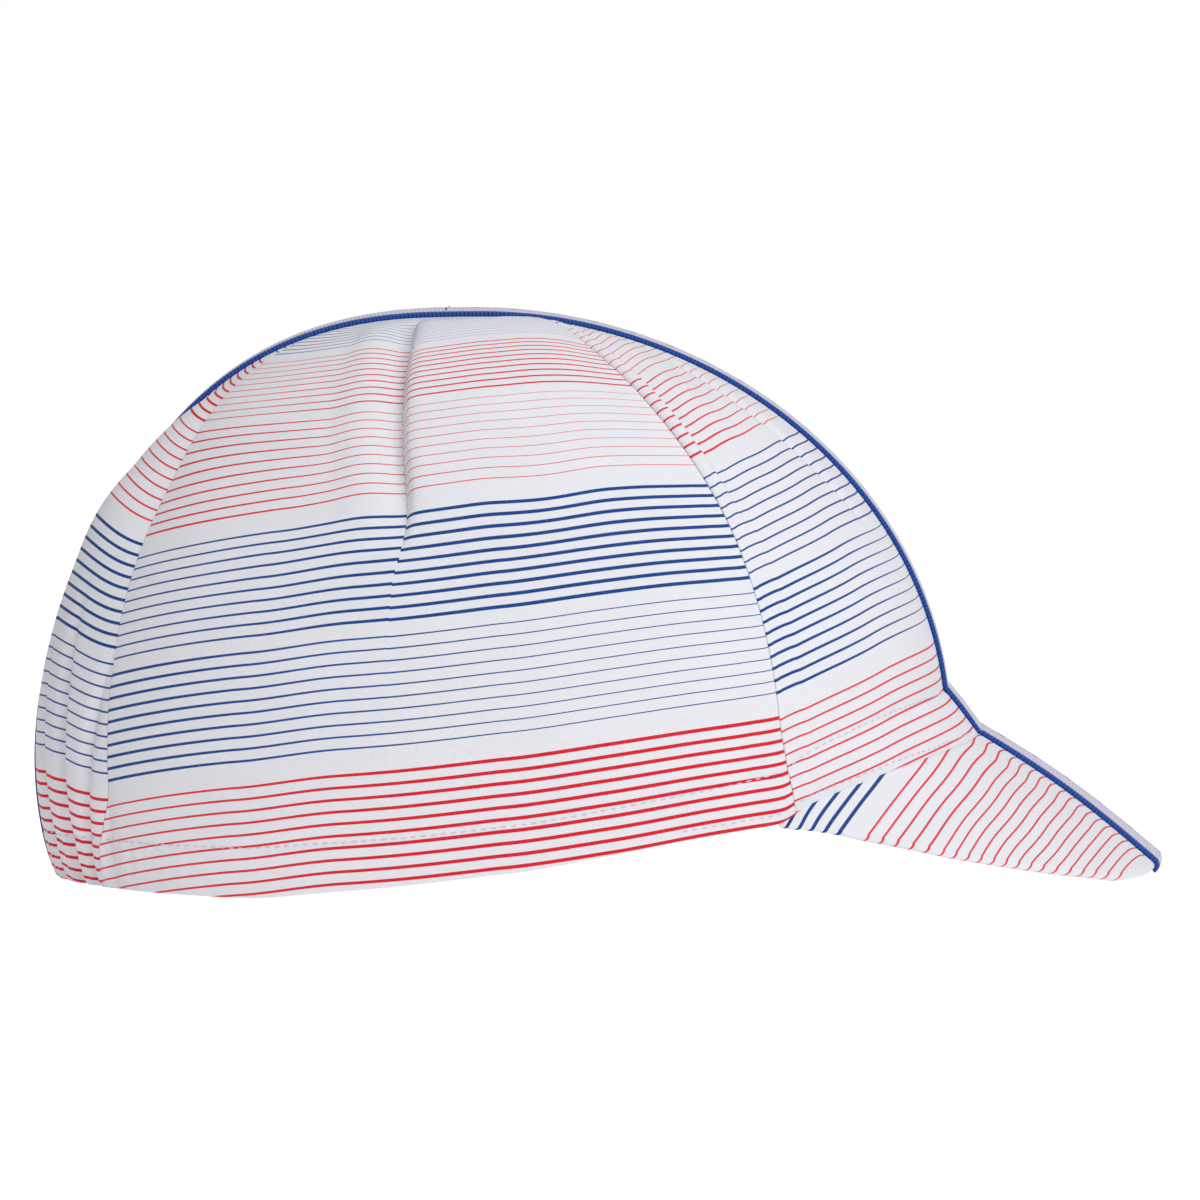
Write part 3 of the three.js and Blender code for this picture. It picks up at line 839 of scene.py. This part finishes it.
def from_line(tree, height):
    """Distance from the nearest of evenly spaced lines, the first half a space up."""
    cell = math_node(tree, "FRACT", math_node(tree, "DIVIDE", height, LINE_SPACING))
    aside = math_node(tree, "ABSOLUTE", math_node(tree, "SUBTRACT", cell, 0.5))
    return math_node(tree, "MULTIPLY", aside, LINE_SPACING)


def crown_lines(tree, height, first, second, fade):
    """The printed lines: the ink, whether it is blue and how wide the line is, from the height
    in the print. The first group of each colour thins towards the panel's front edge and the
    second one grows, by the two shares given. All of them get thinner higher up."""
    block = (2 * GROUP_LINES - 2 + GROUP_GAP + COLOUR_GAP) * LINE_SPACING
    start = math_node(tree, "SUBTRACT", height, BLUE_START - LINE_SPACING / 2)
    number = math_node(tree, "FLOOR", math_node(tree, "DIVIDE", start, block))
    inside = math_node(tree, "SUBTRACT", start, math_node(tree, "MULTIPLY", number, block))
    second_at = (GROUP_LINES - 1 + GROUP_GAP) * LINE_SPACING
    is_second = math_node(tree, "GREATER_THAN", inside, second_at - 0.2 * LINE_SPACING)
    local = math_node(tree, "SUBTRACT", inside, math_node(tree, "MULTIPLY", is_second, second_at))
    above = math_node(tree, "GREATER_THAN", local, 0.0)
    below = math_node(tree, "LESS_THAN", local, GROUP_LINES * LINE_SPACING)
    in_group = math_node(tree, "MULTIPLY", above, below)
    thinning = ramp(tree, first, *FIRST_SHARES, *FIRST_WIDTHS)
    growing = ramp(tree, second, *SECOND_SHARES, *SECOND_WIDTHS)
    more = math_node(tree, "SUBTRACT", growing, thinning)
    width = math_node(tree, "MULTIPLY_ADD", is_second, more, thinning)
    width = math_node(tree, "MULTIPLY", width, ramp(tree, height, *fade))
    half = math_node(tree, "MULTIPLY_ADD", width, 0.5, INK_EDGE / 2)
    ink = math_node(tree, "MULTIPLY", in_group, inked(tree, from_line(tree, local), half))
    odd = math_node(tree, "ABSOLUTE", math_node(tree, "MODULO", number, 2.0))
    return ink, math_node(tree, "LESS_THAN", odd, 0.5), width


def peak_lines(tree, height):
    """The peak's lines: twenty thin red ones from height 0 forward, and strong blue ones
    behind them, towards the corners."""
    blue = math_node(tree, "LESS_THAN", height, LINE_SPACING / 2 - PEAK_BLUE_START)
    ahead = math_node(tree, "MULTIPLY_ADD", blue, PEAK_BLUE_START, LINE_SPACING / 2)
    away = from_line(tree, math_node(tree, "ADD", height, ahead))
    more = PEAK_LINE_WIDTHS["blue"] - PEAK_LINE_WIDTHS["red"]
    width = math_node(tree, "MULTIPLY_ADD", blue, more, PEAK_LINE_WIDTHS["red"])
    half = math_node(tree, "MULTIPLY_ADD", width, 0.5, INK_EDGE / 2)
    below = math_node(tree, "LESS_THAN", height, (PEAK_RED_LINES - 0.5) * LINE_SPACING)
    above = math_node(tree, "GREATER_THAN", height, -LINE_SPACING / 2)
    printed = math_node(tree, "MAXIMUM", math_node(tree, "MULTIPLY", below, above), blue)
    return math_node(tree, "MULTIPLY", printed, inked(tree, away, half)), blue, width


def uv_of(tree):
    """The cloth's own coordinates in millimetres: along the row, and height in the print."""
    uv = tree.nodes.new("ShaderNodeUVMap")
    uv.uv_map = "cloth"
    scale = tree.nodes.new("ShaderNodeVectorMath")
    scale.operation = "SCALE"
    scale.inputs["Scale"].default_value = 1 / MM
    tree.links.new(uv.outputs[0], scale.inputs[0])
    parts = tree.nodes.new("ShaderNodeSeparateXYZ")
    tree.links.new(scale.outputs[0], parts.inputs[0])
    return scale.outputs[0], parts.outputs[0], parts.outputs[1]


def attribute_of(tree, name):
    node = tree.nodes.new("ShaderNodeAttribute")
    node.attribute_name = name
    return node.outputs["Fac"]


def weave_bump(tree, shader, along, up, vector, pitch, strength):
    """A fine plain weave: crossed waves of one pitch, broken up by noise, as bump."""
    warp = math_node(tree, "SINE", math_node(tree, "MULTIPLY", along, TURN / pitch))
    weft = math_node(tree, "SINE", math_node(tree, "MULTIPLY", up, TURN / pitch))
    weave = math_node(tree, "MULTIPLY", warp, weft)
    grain = noise(tree, vector, GRAIN["scale"], GRAIN["detail"])
    half_weave = math_node(tree, "MULTIPLY", weave, 0.5)
    height = math_node(tree, "MULTIPLY_ADD", grain, GRAIN["height"], half_weave)
    node = tree.nodes.new("ShaderNodeBump")
    node.inputs["Strength"].default_value = strength
    node.inputs["Distance"].default_value = WEAVE_DEPTH * MM
    tree.links.new(height, node.inputs["Height"])
    tree.links.new(node.outputs[0], shader.inputs["Normal"])


def cloth_finish(shader, roughness=0.78, sheen=0.1):
    shader.inputs["Roughness"].default_value = roughness
    shader.inputs["Specular IOR Level"].default_value = 0.2
    shader.inputs["Sheen Weight"].default_value = sheen
    shader.inputs["Sheen Roughness"].default_value = 0.5


def inked_cloth(name, lines):
    """Smooth thin cloth printed with lines, which a function of the tree and the height in the
    print gives as ink, blue or not, and width. Thin lines are a little paler."""
    material, nodes, links, shader = new_material(name)
    tree = material.node_tree
    vector, along, up = uv_of(tree)
    ink, blue, width = lines(tree, up)
    strength = ramp(tree, width, *PALE_WIDTHS)
    reds = mix_colour(tree, strength, INK["pale_red"], INK["red"])
    blues = mix_colour(tree, strength, INK["pale_blue"], INK["blue"])
    white = mix_colour(tree, noise(tree, vector, SHADE_SCALE), *CLOTH_WHITES)
    speckle = noise(tree, vector, WORN_INK["scale"])
    spread, least = WORN_INK["spread"], WORN_INK["least"]
    worn = math_node(tree, "MULTIPLY_ADD", speckle, spread, least, clamp=True)
    cover = math_node(tree, "MULTIPLY", ink, worn)
    inks = mix_colour(tree, blue, reds, blues)
    links.new(mix_colour(tree, cover, white, inks), shader.inputs["Base Color"])
    weave_bump(tree, shader, along, up, vector, WEAVE_PITCH, 0.35)
    cloth_finish(shader)
    return material


def crown_print(name, first, second, fade=CROWN_FADE):
    """Cloth of a crown panel. Each group's share is given at the back and the front edge."""

    def lines(tree, height):
        share = attribute_of(tree, "share")
        shares = [
            math_node(tree, "MULTIPLY_ADD", share, front - back, back)
            for back, front in (first, second)
        ]
        return crown_lines(tree, height, *shares, fade)

    return inked_cloth(name, lines)


def plain_cloth(name, colour, pitch):
    """Plain cloth or thread of one colour, on the piece's Object coordinates."""
    material, nodes, links, shader = new_material(name)
    tree = material.node_tree
    place = nodes.new("ShaderNodeTexCoord")
    scale = nodes.new("ShaderNodeVectorMath")
    scale.operation = "SCALE"
    scale.inputs["Scale"].default_value = 1 / MM
    links.new(place.outputs["Object"], scale.inputs[0])
    parts = nodes.new("ShaderNodeSeparateXYZ")
    links.new(scale.outputs[0], parts.inputs[0])
    shade = noise(tree, scale.outputs[0], PLAIN_SHADE["scale"])
    dark = tuple(c * PLAIN_SHADE["least"] for c in colour) + (1,)
    links.new(mix_colour(tree, shade, dark, colour + (1,)), shader.inputs["Base Color"])
    weave_bump(tree, shader, parts.outputs[0], parts.outputs[2], scale.outputs[0], pitch, 0.3)
    cloth_finish(shader)
    return material


def stripe(tree, away, low, high):
    """A stripe between two distances from the middle, with soft edges."""
    past = math_node(tree, "SUBTRACT", away, low)
    short = math_node(tree, "SUBTRACT", high, away)
    rise = math_node(tree, "DIVIDE", past, BORDER_EDGE, clamp=True)
    fall = math_node(tree, "DIVIDE", short, BORDER_EDGE, clamp=True)
    return math_node(tree, "MULTIPLY", rise, fall)


def tape_cloth(name):
    """Woven tape: blue ribbed borders and a pale middle with a row of small diamonds. Each rib's
    colour is painted darker in its groove and lighter on its crest: painted shade and painted
    highlight on the ribs. The first coordinate runs along the tape and the second across it from
    its middle."""
    material, nodes, links, shader = new_material(name)
    tree = material.node_tree
    vector, along, across = uv_of(tree)
    away = math_node(tree, "ABSOLUTE", across)
    border = stripe(tree, away, TAPE_WIDTH / 2 - BORDER_WIDTH, TAPE_WIDTH)
    cell = math_node(tree, "FRACT", math_node(tree, "DIVIDE", along, MOTIF_PITCH))
    aside = math_node(tree, "ABSOLUTE", math_node(tree, "SUBTRACT", cell, 0.5))
    reach = math_node(tree, "MULTIPLY_ADD", aside, 2 * MOTIF_PITCH, away)
    within = math_node(tree, "SUBTRACT", MOTIF_REACH, reach)
    within = math_node(tree, "DIVIDE", within, MOTIF_EDGE, clamp=True)
    diamond = math_node(tree, "MULTIPLY", within, MOTIF_COVER)
    turns = math_node(tree, "MULTIPLY", along, TURN / RIB_PITCHES["along"])
    rib = math_node(tree, "SINE", turns)
    # The rib's wave also sets the colour: painted shade in each groove, painted highlight on each
    # crest
    rib_lit_share = math_node(tree, "MULTIPLY_ADD", rib, 0.5, 0.5)
    pales = mix_colour(tree, rib_lit_share, *SHADED_LIT_TAPE_PALES)
    pales = mix_colour(tree, diamond, pales, TAPE_MOTIF)
    blues = mix_colour(tree, rib_lit_share, *SHADED_LIT_TAPE_BLUES)
    links.new(mix_colour(tree, border, pales, blues), shader.inputs["Base Color"])
    turns = math_node(tree, "MULTIPLY", across, TURN / RIB_PITCHES["across"])
    height = math_node(tree, "MULTIPLY_ADD", math_node(tree, "SINE", turns), 0.35, rib)
    node = nodes.new("ShaderNodeBump")
    node.inputs["Strength"].default_value = 0.6
    node.inputs["Distance"].default_value = RIB_DEPTH * MM
    links.new(height, node.inputs["Height"])
    links.new(node.outputs[0], shader.inputs["Normal"])
    cloth_finish(shader, 0.62, 0.15)
    return material


side_cloth = crown_print("side panel cloth", (0, 1), (0, 1))
front_cloth = crown_print("front panel cloth", (0, 0.8), (0, 0))
rear_cloth = crown_print("rear panel cloth", (0.4, 0.25), (1, 1), REAR_FADE)
peak_print = inked_cloth("peak cloth", peak_lines)
tape_weave = tape_cloth("woven tape")
thread = plain_cloth("lavender thread", THREAD, THREAD_PITCH)


# Sewing


def along_line(outer, arc, level):
    """Points and outward normals where a grid of cloth reaches a height above the rim, one for
    each column, straight between the rows."""
    column = np.arange(outer.shape[1])
    row = np.clip(np.sum(arc < level, axis=0) - 1, 0, len(arc) - 2)
    share = (level - arc[row, column]) / (arc[row + 1, column] - arc[row, column])
    outward = -grid_normals(outer)
    return (
        lerp(outer[row, column], outer[row + 1, column], share[:, None]),
        unit(lerp(outward[row, column], outward[row + 1, column], share[:, None])),
    )


def stitch_row(points, normals, first=0.0, last=1.0):
    """Short threads laid along a line, each a flattened four sided bar that dives into the
    cloth at its ends. Gives all their corners and quads."""
    steps = np.linalg.norm(np.diff(points, axis=0), axis=-1)
    run = np.r_[0, np.cumsum(steps)]
    pitch = STITCH_LENGTH + STITCH_GAP
    middles = np.arange(run[-1] * first + pitch, run[-1] * last - pitch, pitch)
    t = np.linspace(-1, 1, 5)
    at = middles[:, None] + t * STITCH_LENGTH / 2
    place, normal = (
        np.stack([np.interp(at, run, rows[:, axis]) for axis in range(3)], -1)
        for rows in (points, normals)
    )
    ahead = unit(np.gradient(place, axis=1))
    normal = unit(normal)
    beside = np.cross(normal, ahead)
    place = place + normal * (STITCH_STAND - STITCH_DIVE * t**4)[:, None]
    half = (STITCH_WIDTH / 2 * (1 - 0.4 * t**4))[:, None]
    corners = np.stack(
        [
            place + beside * half,
            place + normal * half,
            place - beside * half,
            place - normal * half,
        ],
        2,
    )
    at = np.arange(corners[..., 0].size).reshape(corners.shape[:3])
    around = np.concatenate([at, at[:, :, :1]], axis=2)
    sides = np.stack(
        [around[:, :-1, :-1], around[:, :-1, 1:], around[:, 1:, 1:], around[:, 1:, :-1]], -1
    )
    ends = np.concatenate([at[:, 0, ::-1], at[:, -1]])
    return corners.reshape(-1, 3), np.concatenate([sides.reshape(-1, 4), ends])


def stitches(name, rows, mirrored):
    """Several rows of stitches as one piece."""
    corners, quads, count = [], [], 0
    for row_corners, row_quads in rows:
        corners.append(row_corners * (1, -1 if mirrored else 1, 1))
        quads.append((row_quads[:, ::-1] if mirrored else row_quads) + count)
        count += len(row_corners)
    piece = make_mesh(name, np.concatenate(corners), np.concatenate(quads), thread)
    return keep(piece, "crown_cloth")


# Building the crown


def keep(piece, body_slot, *nodes):
    """A finished piece rides on the cap's one body, in the place of its solids."""
    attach(piece, "root")
    if nodes:
        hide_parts(*nodes)
    return piece


def panel_pair(name, rails, counts, folds, shift, climbs, material, rows):
    """The same panel on both sides, the left one mirrored, with its rows of stitches. A row
    has its height above the rim at each angle, and the shares of the panel it starts and ends
    at."""
    outer, inner, uv, share, arc = crown_panel(rails, counts, folds, shift, climbs)
    edges = np.stack([rail(climbs[:1]) for rail in rails], -1)[0]
    across = np.degrees(np.interp(share[0], np.linspace(0, 1, len(edges)), edges))
    sewn = [
        stitch_row(*along_line(outer, arc, level(across)), first, last)
        for level, first, last in rows
    ]
    for label, mirrored in (("right", False), ("left", True)):
        node = f"{name}_{label}"
        piece = shell(node + "_cloth", outer, inner, uv, share, material, mirrored)
        keep(piece, "crown_cloth", node)
        stitches(node + "_stitches", sewn, mirrored)


def rim_row(degrees):
    """Height above the rim of the row of stitches that holds the peak."""
    return np.full_like(degrees, RIM_ROW)


# Across each panel the share runs from its back edge (0) to its front edge (1).
panel_pair(
    "side_panel",
    (lambda c: side_rear_edge(c) - gap_at(c), tuck_at, lambda c: front_seam_at(c) + gap_at(c)),
    SIDE_COLUMNS,
    side_folds,
    side_shift,
    rows_to(front_top, np.pi / 2, SIDE_ROWS),
    side_cloth,
    ((hem_line, 0, 1), (rim_row, 0.83, 1)),
)
panel_pair(
    "front_panel",
    (lambda c: front_seam_at(c) - gap_at(c), lambda c: tape_edge(c, False)),
    FRONT_COLUMNS,
    front_folds,
    front_shift,
    rows_to(front_top, np.pi / 4, END_PANEL_ROWS),
    front_cloth,
    ((hem_line, 0, 0.93), (rim_row, 0, 0.93)),
)
panel_pair(
    "rear_panel",
    (lambda c: tape_edge(c, True), lambda c: rear_seam_at(c) + gap_at(c)),
    REAR_COLUMNS,
    rear_folds,
    rear_shift,
    rows_to(rear_top, np.pi * 0.85, END_PANEL_ROWS),
    rear_cloth,
    ((hem_line, 0.06, 1),),
)


# The tape


def tape_columns():
    """Places across the tape from its middle line, closer towards its edges."""
    return TAPE_WIDTH / 2 * np.sin(np.pi / 2 * np.linspace(-1, 1, TAPE_COLUMNS))


def half_tape(across):
    """Half the tape's thickness, with rounded side edges."""
    edge = np.clip((TAPE_WIDTH / 2 - np.abs(across)) / (TAPE_WALL / 2), 0, 1)
    return TAPE_WALL / 2 * np.sqrt(1 - (1 - edge) ** 2)


def tape_middle(across, along):
    """Under face of the crown tape: follows the middle line from the back of the rim (0) to
    the brow (1), at a constant distance either side of it."""
    at_back = along < 0.5
    climb = np.pi / 2 * (1 - np.abs(2 * along - 1))
    middle = dome_share(np.where(at_back, np.pi, 0.0), climb)
    straight = 1 - smooth(middle, 0.3, 0.7)
    level = np.minimum(np.hypot(middle, across / (RIM_WIDTH / 2) * np.sqrt(straight)), 1)
    back = angle_beside_middle(np.abs(across), lambda angle: level, True)
    front = angle_beside_middle(np.abs(across), lambda angle: level, False)
    angle = np.where(at_back, back, front)
    angle = np.where(level > 1e-6, angle, np.pi / 2)
    climb = np.arccos(np.clip(level ** (dome_power(angle) / 2), 0, 1))
    point = crown_base(angle, climb)
    point[..., 1] = across
    return point


def crown_tape():
    """The tape's outer and inner grids and its own coordinates: the crown's surface moved out
    along its normal by half the tape's thickness either way."""
    length = float(arc_above_rim(np.array(np.pi), np.array(np.pi / 2)))
    back = climb_at_arc(np.pi, np.linspace(0, length, TAPE_ROWS["back"])) / np.pi
    front_length = float(arc_above_rim(np.array(0.0), np.array(np.pi / 2)))
    front_arcs = np.linspace(front_length, 0, TAPE_ROWS["front"])[1:]
    front = 1 - climb_at_arc(0, front_arcs) / np.pi
    along = np.r_[back, front][:, None]
    along, across = np.broadcast_arrays(along, tape_columns()[None, :])
    step = 4e-3
    inside = np.clip(along, step, 1 - step)
    point = tape_middle(across, along)
    ahead = tape_middle(across, inside + step) - tape_middle(across, inside - step)
    beside = tape_middle(across + 0.5, inside) - tape_middle(across - 0.5, inside)
    normal = unit(np.cross(ahead, beside))
    height = point[..., 2] - np.where(along < 0.5, 0, FRONT_LIFT)
    normal = level_at_rim(normal, height)
    half = half_tape(across)
    lift = TAPE_WALL / 2 - TAPE_SINK
    outer = point + normal * (lift + half)[..., None]
    inner = point + normal * (lift - half)[..., None]
    steps = np.linalg.norm(np.diff(point, axis=0), axis=-1)
    run = np.concatenate([np.zeros((1, point.shape[1])), np.cumsum(steps, axis=0)], axis=0)
    uv = np.stack([run, across], -1)
    return outer, inner, uv


outer, inner, uv = crown_tape()
tape = shell("crown_tape_cloth", outer, inner, uv, uv[..., 0] * 0, tape_weave)
keep(tape, "tape", "crown_tape")


# The peak


def peak_half(share):
    """Half the peak's thickness, which tapers to its two corners."""
    sweep = 90 * (1 - np.abs(2 * share - 1))
    return lerp(PEAK_CORNER_WALL, PEAK_WALL, smooth(sweep, 0, 15)) / 2


def peak_middle(share, run):
    """Middle of the peak's thickness: straight rulings from the front rim out to the middle of
    the rounded edge, with a slight arch. Share 0 is the right corner and 1 the left, run 0 the
    root."""
    angle = np.radians(lerp(PEAK_HALF_ANGLE, -PEAK_HALF_ANGLE, share))
    sweep = np.pi / 2 * (1 - np.abs(2 * share - 1))
    half = peak_half(share)
    corner = rim_point(np.radians(PEAK_HALF_ANGLE))
    root = rim_point(angle)
    root[..., :2] *= 1 - PEAK_LAP / np.linalg.norm(root[..., :2], axis=-1, keepdims=True)
    root[..., 2] += PEAK_LAP - half
    corner_lift = corner[2] - PEAK_CORNER_WALL / 2 - PEAK_EDGE_LEVEL - PEAK_CORNER
    edge = np.stack(
        [
            lerp(corner[0] + PEAK_CORNER, PEAK_TIP_X, np.sin(sweep)),
            (corner[1] - PEAK_CORNER) * np.cos(sweep) * np.where(share < 0.5, 1, -1),
            PEAK_EDGE_LEVEL + corner_lift * peak_edge_lift(np.degrees(sweep)),
        ],
        -1,
    )
    rounded = np.minimum(half / np.linalg.norm(edge - root, axis=-1), 0.5)
    edge[..., :2] -= (edge - root)[..., :2] * rounded[..., None]
    point = root + (edge - root) * np.asarray(run)[..., None]
    point[..., 2] += PEAK_ARCH * np.sin(np.pi * np.clip(run, 0, 1)) * np.sin(sweep)
    return point


def around_peak(share, run, turn, distance):
    """A point at a distance from the peak's middle: above it at turn 0, straight out from the
    rounded edge at a quarter turn, and below it at a half turn."""
    step = 5e-3
    inside_share = np.clip(share, step, 1 - step)
    inside_run = np.clip(run, step, 1 - step)
    up = normal_of(peak_middle, inside_share, inside_run, step)
    out = peak_middle(inside_share, inside_run + step)
    out = out - peak_middle(inside_share, inside_run - step)
    distance = np.asarray(distance)[..., None]
    return (
        peak_middle(share, run)
        + up * distance * np.cos(turn)[..., None]
        + unit(out) * distance * np.sin(turn)[..., None]
    )


def peak_shares(across, run):
    """Share of the peak's width at a distance from its middle line, by halving."""
    low, high = np.zeros_like(run), np.ones_like(run)
    for _ in range(30):
        middle = (low + high) / 2
        below = peak_middle(middle, run)[..., 1] < across
        low, high = np.where(below, middle, low), np.where(below, high, middle)
    return (low + high) / 2


def peak_cloth_grid():
    """The peak's cloth: out along the top face, round the edge and back along the under face.
    Gives its points, its print's coordinates and the share across."""
    out = np.linspace(0, 1, PEAK_ROWS)
    round_edge = np.linspace(0, np.pi, PEAK_ROUND_ROWS)[1:-1]
    runs = np.r_[out, np.ones(len(round_edge)), out[::-1]]
    turns = np.r_[np.zeros(len(out)), round_edge, np.full(len(out), np.pi)]
    t = np.linspace(0, 1, PEAK_COLUMNS)
    shares = t - 0.5 * np.sin(TURN * t) / TURN
    run, share = np.broadcast_arrays(runs[:, None], shares[None, :])
    turn = np.broadcast_to(turns[:, None], run.shape)
    end = np.clip(np.minimum(share, 1 - share) / 0.012, 0, 1)
    thick = peak_half(share) * np.sqrt(1 - (1 - end) ** 2) * 0.98 + 0.02
    middle = peak_middle(share, run)
    height = peak_print_height(middle, run, PEAK_WALL / 2 * turn)
    uv = np.stack([middle[..., 1], height], -1)
    return around_peak(share, run, turn, thick), uv, share


def peak_print_height(point, run, round_edge):
    """Height in the peak's print: how far forward the cloth is, more towards the corners and
    round the edge, and less close beside the tape and near the root. The lines draw closer
    towards the tip."""
    aside = np.abs(point[..., 1])
    slant = PEAK_SLANT * aside
    slant = slant + PEAK_CORNER_SLANT * np.maximum(aside - PEAK_CORNER_ASIDE, 0) ** 2
    hook = PEAK_HOOK * np.exp(-np.maximum(aside - TAPE_WIDTH / 2, 0) / PEAK_HOOK_WIDTH)
    flat = run**1.5 * (1 - smooth(aside, *PEAK_FLAT_ASIDES))
    bow = PEAK_BOW * smooth(aside, *PEAK_BOW_ASIDES) * (1 - flat)
    forward = point[..., 0] + slant + PEAK_ROUND_SHARE * round_edge - hook - bow
    forward = forward - PEAK_PRINT_START
    closer = PEAK_CLOSER["share"] * np.maximum(forward - PEAK_CLOSER["start"], 0)
    closest = PEAK_CLOSEST["bend"] * np.maximum(forward - PEAK_CLOSEST["start"], 0) ** 2
    return forward + closer + closest


def closed_skin(name, points, uv, share, material):
    """A closed skin from a grid whose first and last rows meet along the root, and whose side
    columns close onto themselves."""
    rows, columns = points.shape[:2]
    at = np.arange(rows * columns).reshape(rows, columns)
    half = (rows + 1) // 2
    quads = [
        grid_faces(at, False),
        strip_faces(at[0], at[-1], False),
        strip_faces(at[:half, 0], at[::-1][:half, 0], True),
        strip_faces(at[:half, -1], at[::-1][:half, -1], False),
    ]
    return make_mesh(name, points, np.concatenate(quads), material, uv, share)


points, uv, share = peak_cloth_grid()
keep(closed_skin("peak_cloth", points, uv, share, peak_print), "peak_cloth", "peak")


def peak_tape():
    """The tape down the middle of the peak and round its edge. Gives its outer and inner grids
    and its own coordinates."""
    root, tip = (peak_middle(np.array(0.5), np.array(end)) for end in (0.0, 1.0))
    start = TAPE_JOIN / float(np.linalg.norm(tip - root))
    round_edge = np.radians(np.linspace(0, PEAK_TAPE_TURN, TAPE_ROWS["round"]))[1:]
    runs = np.r_[np.linspace(start, 1, TAPE_ROWS["peak"]), np.ones(len(round_edge))]
    turns = np.r_[np.zeros(TAPE_ROWS["peak"]), round_edge]
    run, across = np.broadcast_arrays(runs[:, None], tape_columns()[None, :])
    turn = np.broadcast_to(turns[:, None], run.shape)
    share = peak_shares(across, run)
    half = half_tape(across)
    middle = PEAK_WALL / 2 - TAPE_SINK + TAPE_WALL / 2
    outer = around_peak(share, run, turn, middle + half)
    inner = around_peak(share, run, turn, middle - half)
    steps = np.linalg.norm(np.diff(outer, axis=0), axis=-1)
    along = np.concatenate([np.zeros((1, outer.shape[1])), np.cumsum(steps, axis=0)], axis=0)
    return outer, inner, np.stack([along, across], -1)


outer, inner, uv = peak_tape()
tape = shell("peak_tape_cloth", outer, inner, uv, uv[..., 0] * 0, tape_weave)
keep(tape, "tape", "peak_tape")


# Floor, light and camera


def studio():
    """A pale floor and a white surround that show brighter than they light, and soft lamps:
    the large one in front of the cap's right side, weaker ones behind and above."""
    bpy.ops.mesh.primitive_plane_add(size=FLOOR_SIZE, location=(0, 0, -FLOOR_GAP))
    floor = bpy.context.object
    floor.name = "floor"
    material, nodes, links, shader = new_material("pale floor")
    shader.inputs["Base Color"].default_value = FLOOR_WHITE
    shader.inputs["Roughness"].default_value = 0.9
    shader.inputs["Emission Color"].default_value = (1, 1, 1, 1)
    tree = material.node_tree
    seen = tree.nodes.new("ShaderNodeLightPath").outputs["Is Camera Ray"]
    glow = math_node(tree, "MULTIPLY_ADD", seen, FLOOR_SHOWN_GLOW - FLOOR_GLOW, FLOOR_GLOW)
    links.new(glow, shader.inputs["Emission Strength"])
    floor.data.materials.append(material)
    world = bpy.data.worlds.new("white surround")
    world.use_nodes = True
    tree = world.node_tree
    shown, lit = tree.nodes["Background"], tree.nodes.new("ShaderNodeBackground")
    shown.inputs["Strength"].default_value = 1.0
    lit.inputs["Strength"].default_value = SURROUND_LIGHT
    shown.inputs["Color"].default_value = lit.inputs["Color"].default_value = (1, 1, 1, 1)
    seen = tree.nodes.new("ShaderNodeLightPath").outputs["Is Camera Ray"]
    mix = tree.nodes.new("ShaderNodeMixShader")
    for source, socket in zip((seen, lit.outputs[0], shown.outputs[0]), mix.inputs):
        tree.links.new(source, socket)
    tree.links.new(mix.outputs[0], tree.nodes["World Output"].inputs["Surface"])
    bpy.context.scene.world = world
    for name, place, size, power in LAMPS:
        light = bpy.data.lights.new(name, "AREA")
        light.energy = power
        light.size = size
        lamp = bpy.data.objects.new(name, light)
        lamp.location = place
        aim = Vector(LAMP_AIM) - Vector(place)
        lamp.rotation_mode = "QUATERNION"
        lamp.rotation_quaternion = aim.to_track_quat("-Z", "Y")
        bpy.context.scene.collection.objects.link(lamp)


def camera():
    """A long lens level with the cap, a little in front of its side and above the floor."""
    azimuth = math.radians(VIEW_AZIMUTH)
    elevation = math.radians(VIEW_ELEVATION)
    back = Vector(
        (
            math.sin(azimuth) * math.cos(elevation),
            -math.cos(azimuth) * math.cos(elevation),
            math.sin(elevation),
        )
    )
    lens = bpy.data.cameras.new("camera")
    lens.sensor_width = FILM_WIDTH
    lens.lens = FILM_WIDTH * VIEW_DISTANCE / MM * PIXELS_A_MM / PICTURE_WIDTH
    lens.shift_x, lens.shift_y = (shift / PICTURE_WIDTH for shift in PICTURE_SHIFT)
    eye = bpy.data.objects.new("camera", lens)
    eye.location = Vector((0, 0, VIEW_HEIGHT)) + back * VIEW_DISTANCE
    eye.rotation_mode = "QUATERNION"
    eye.rotation_quaternion = (-back).to_track_quat("-Z", "Y")
    bpy.context.scene.collection.objects.link(eye)
    bpy.context.scene.camera = eye


studio()
camera()
bpy.context.scene.view_settings.view_transform = "Standard"
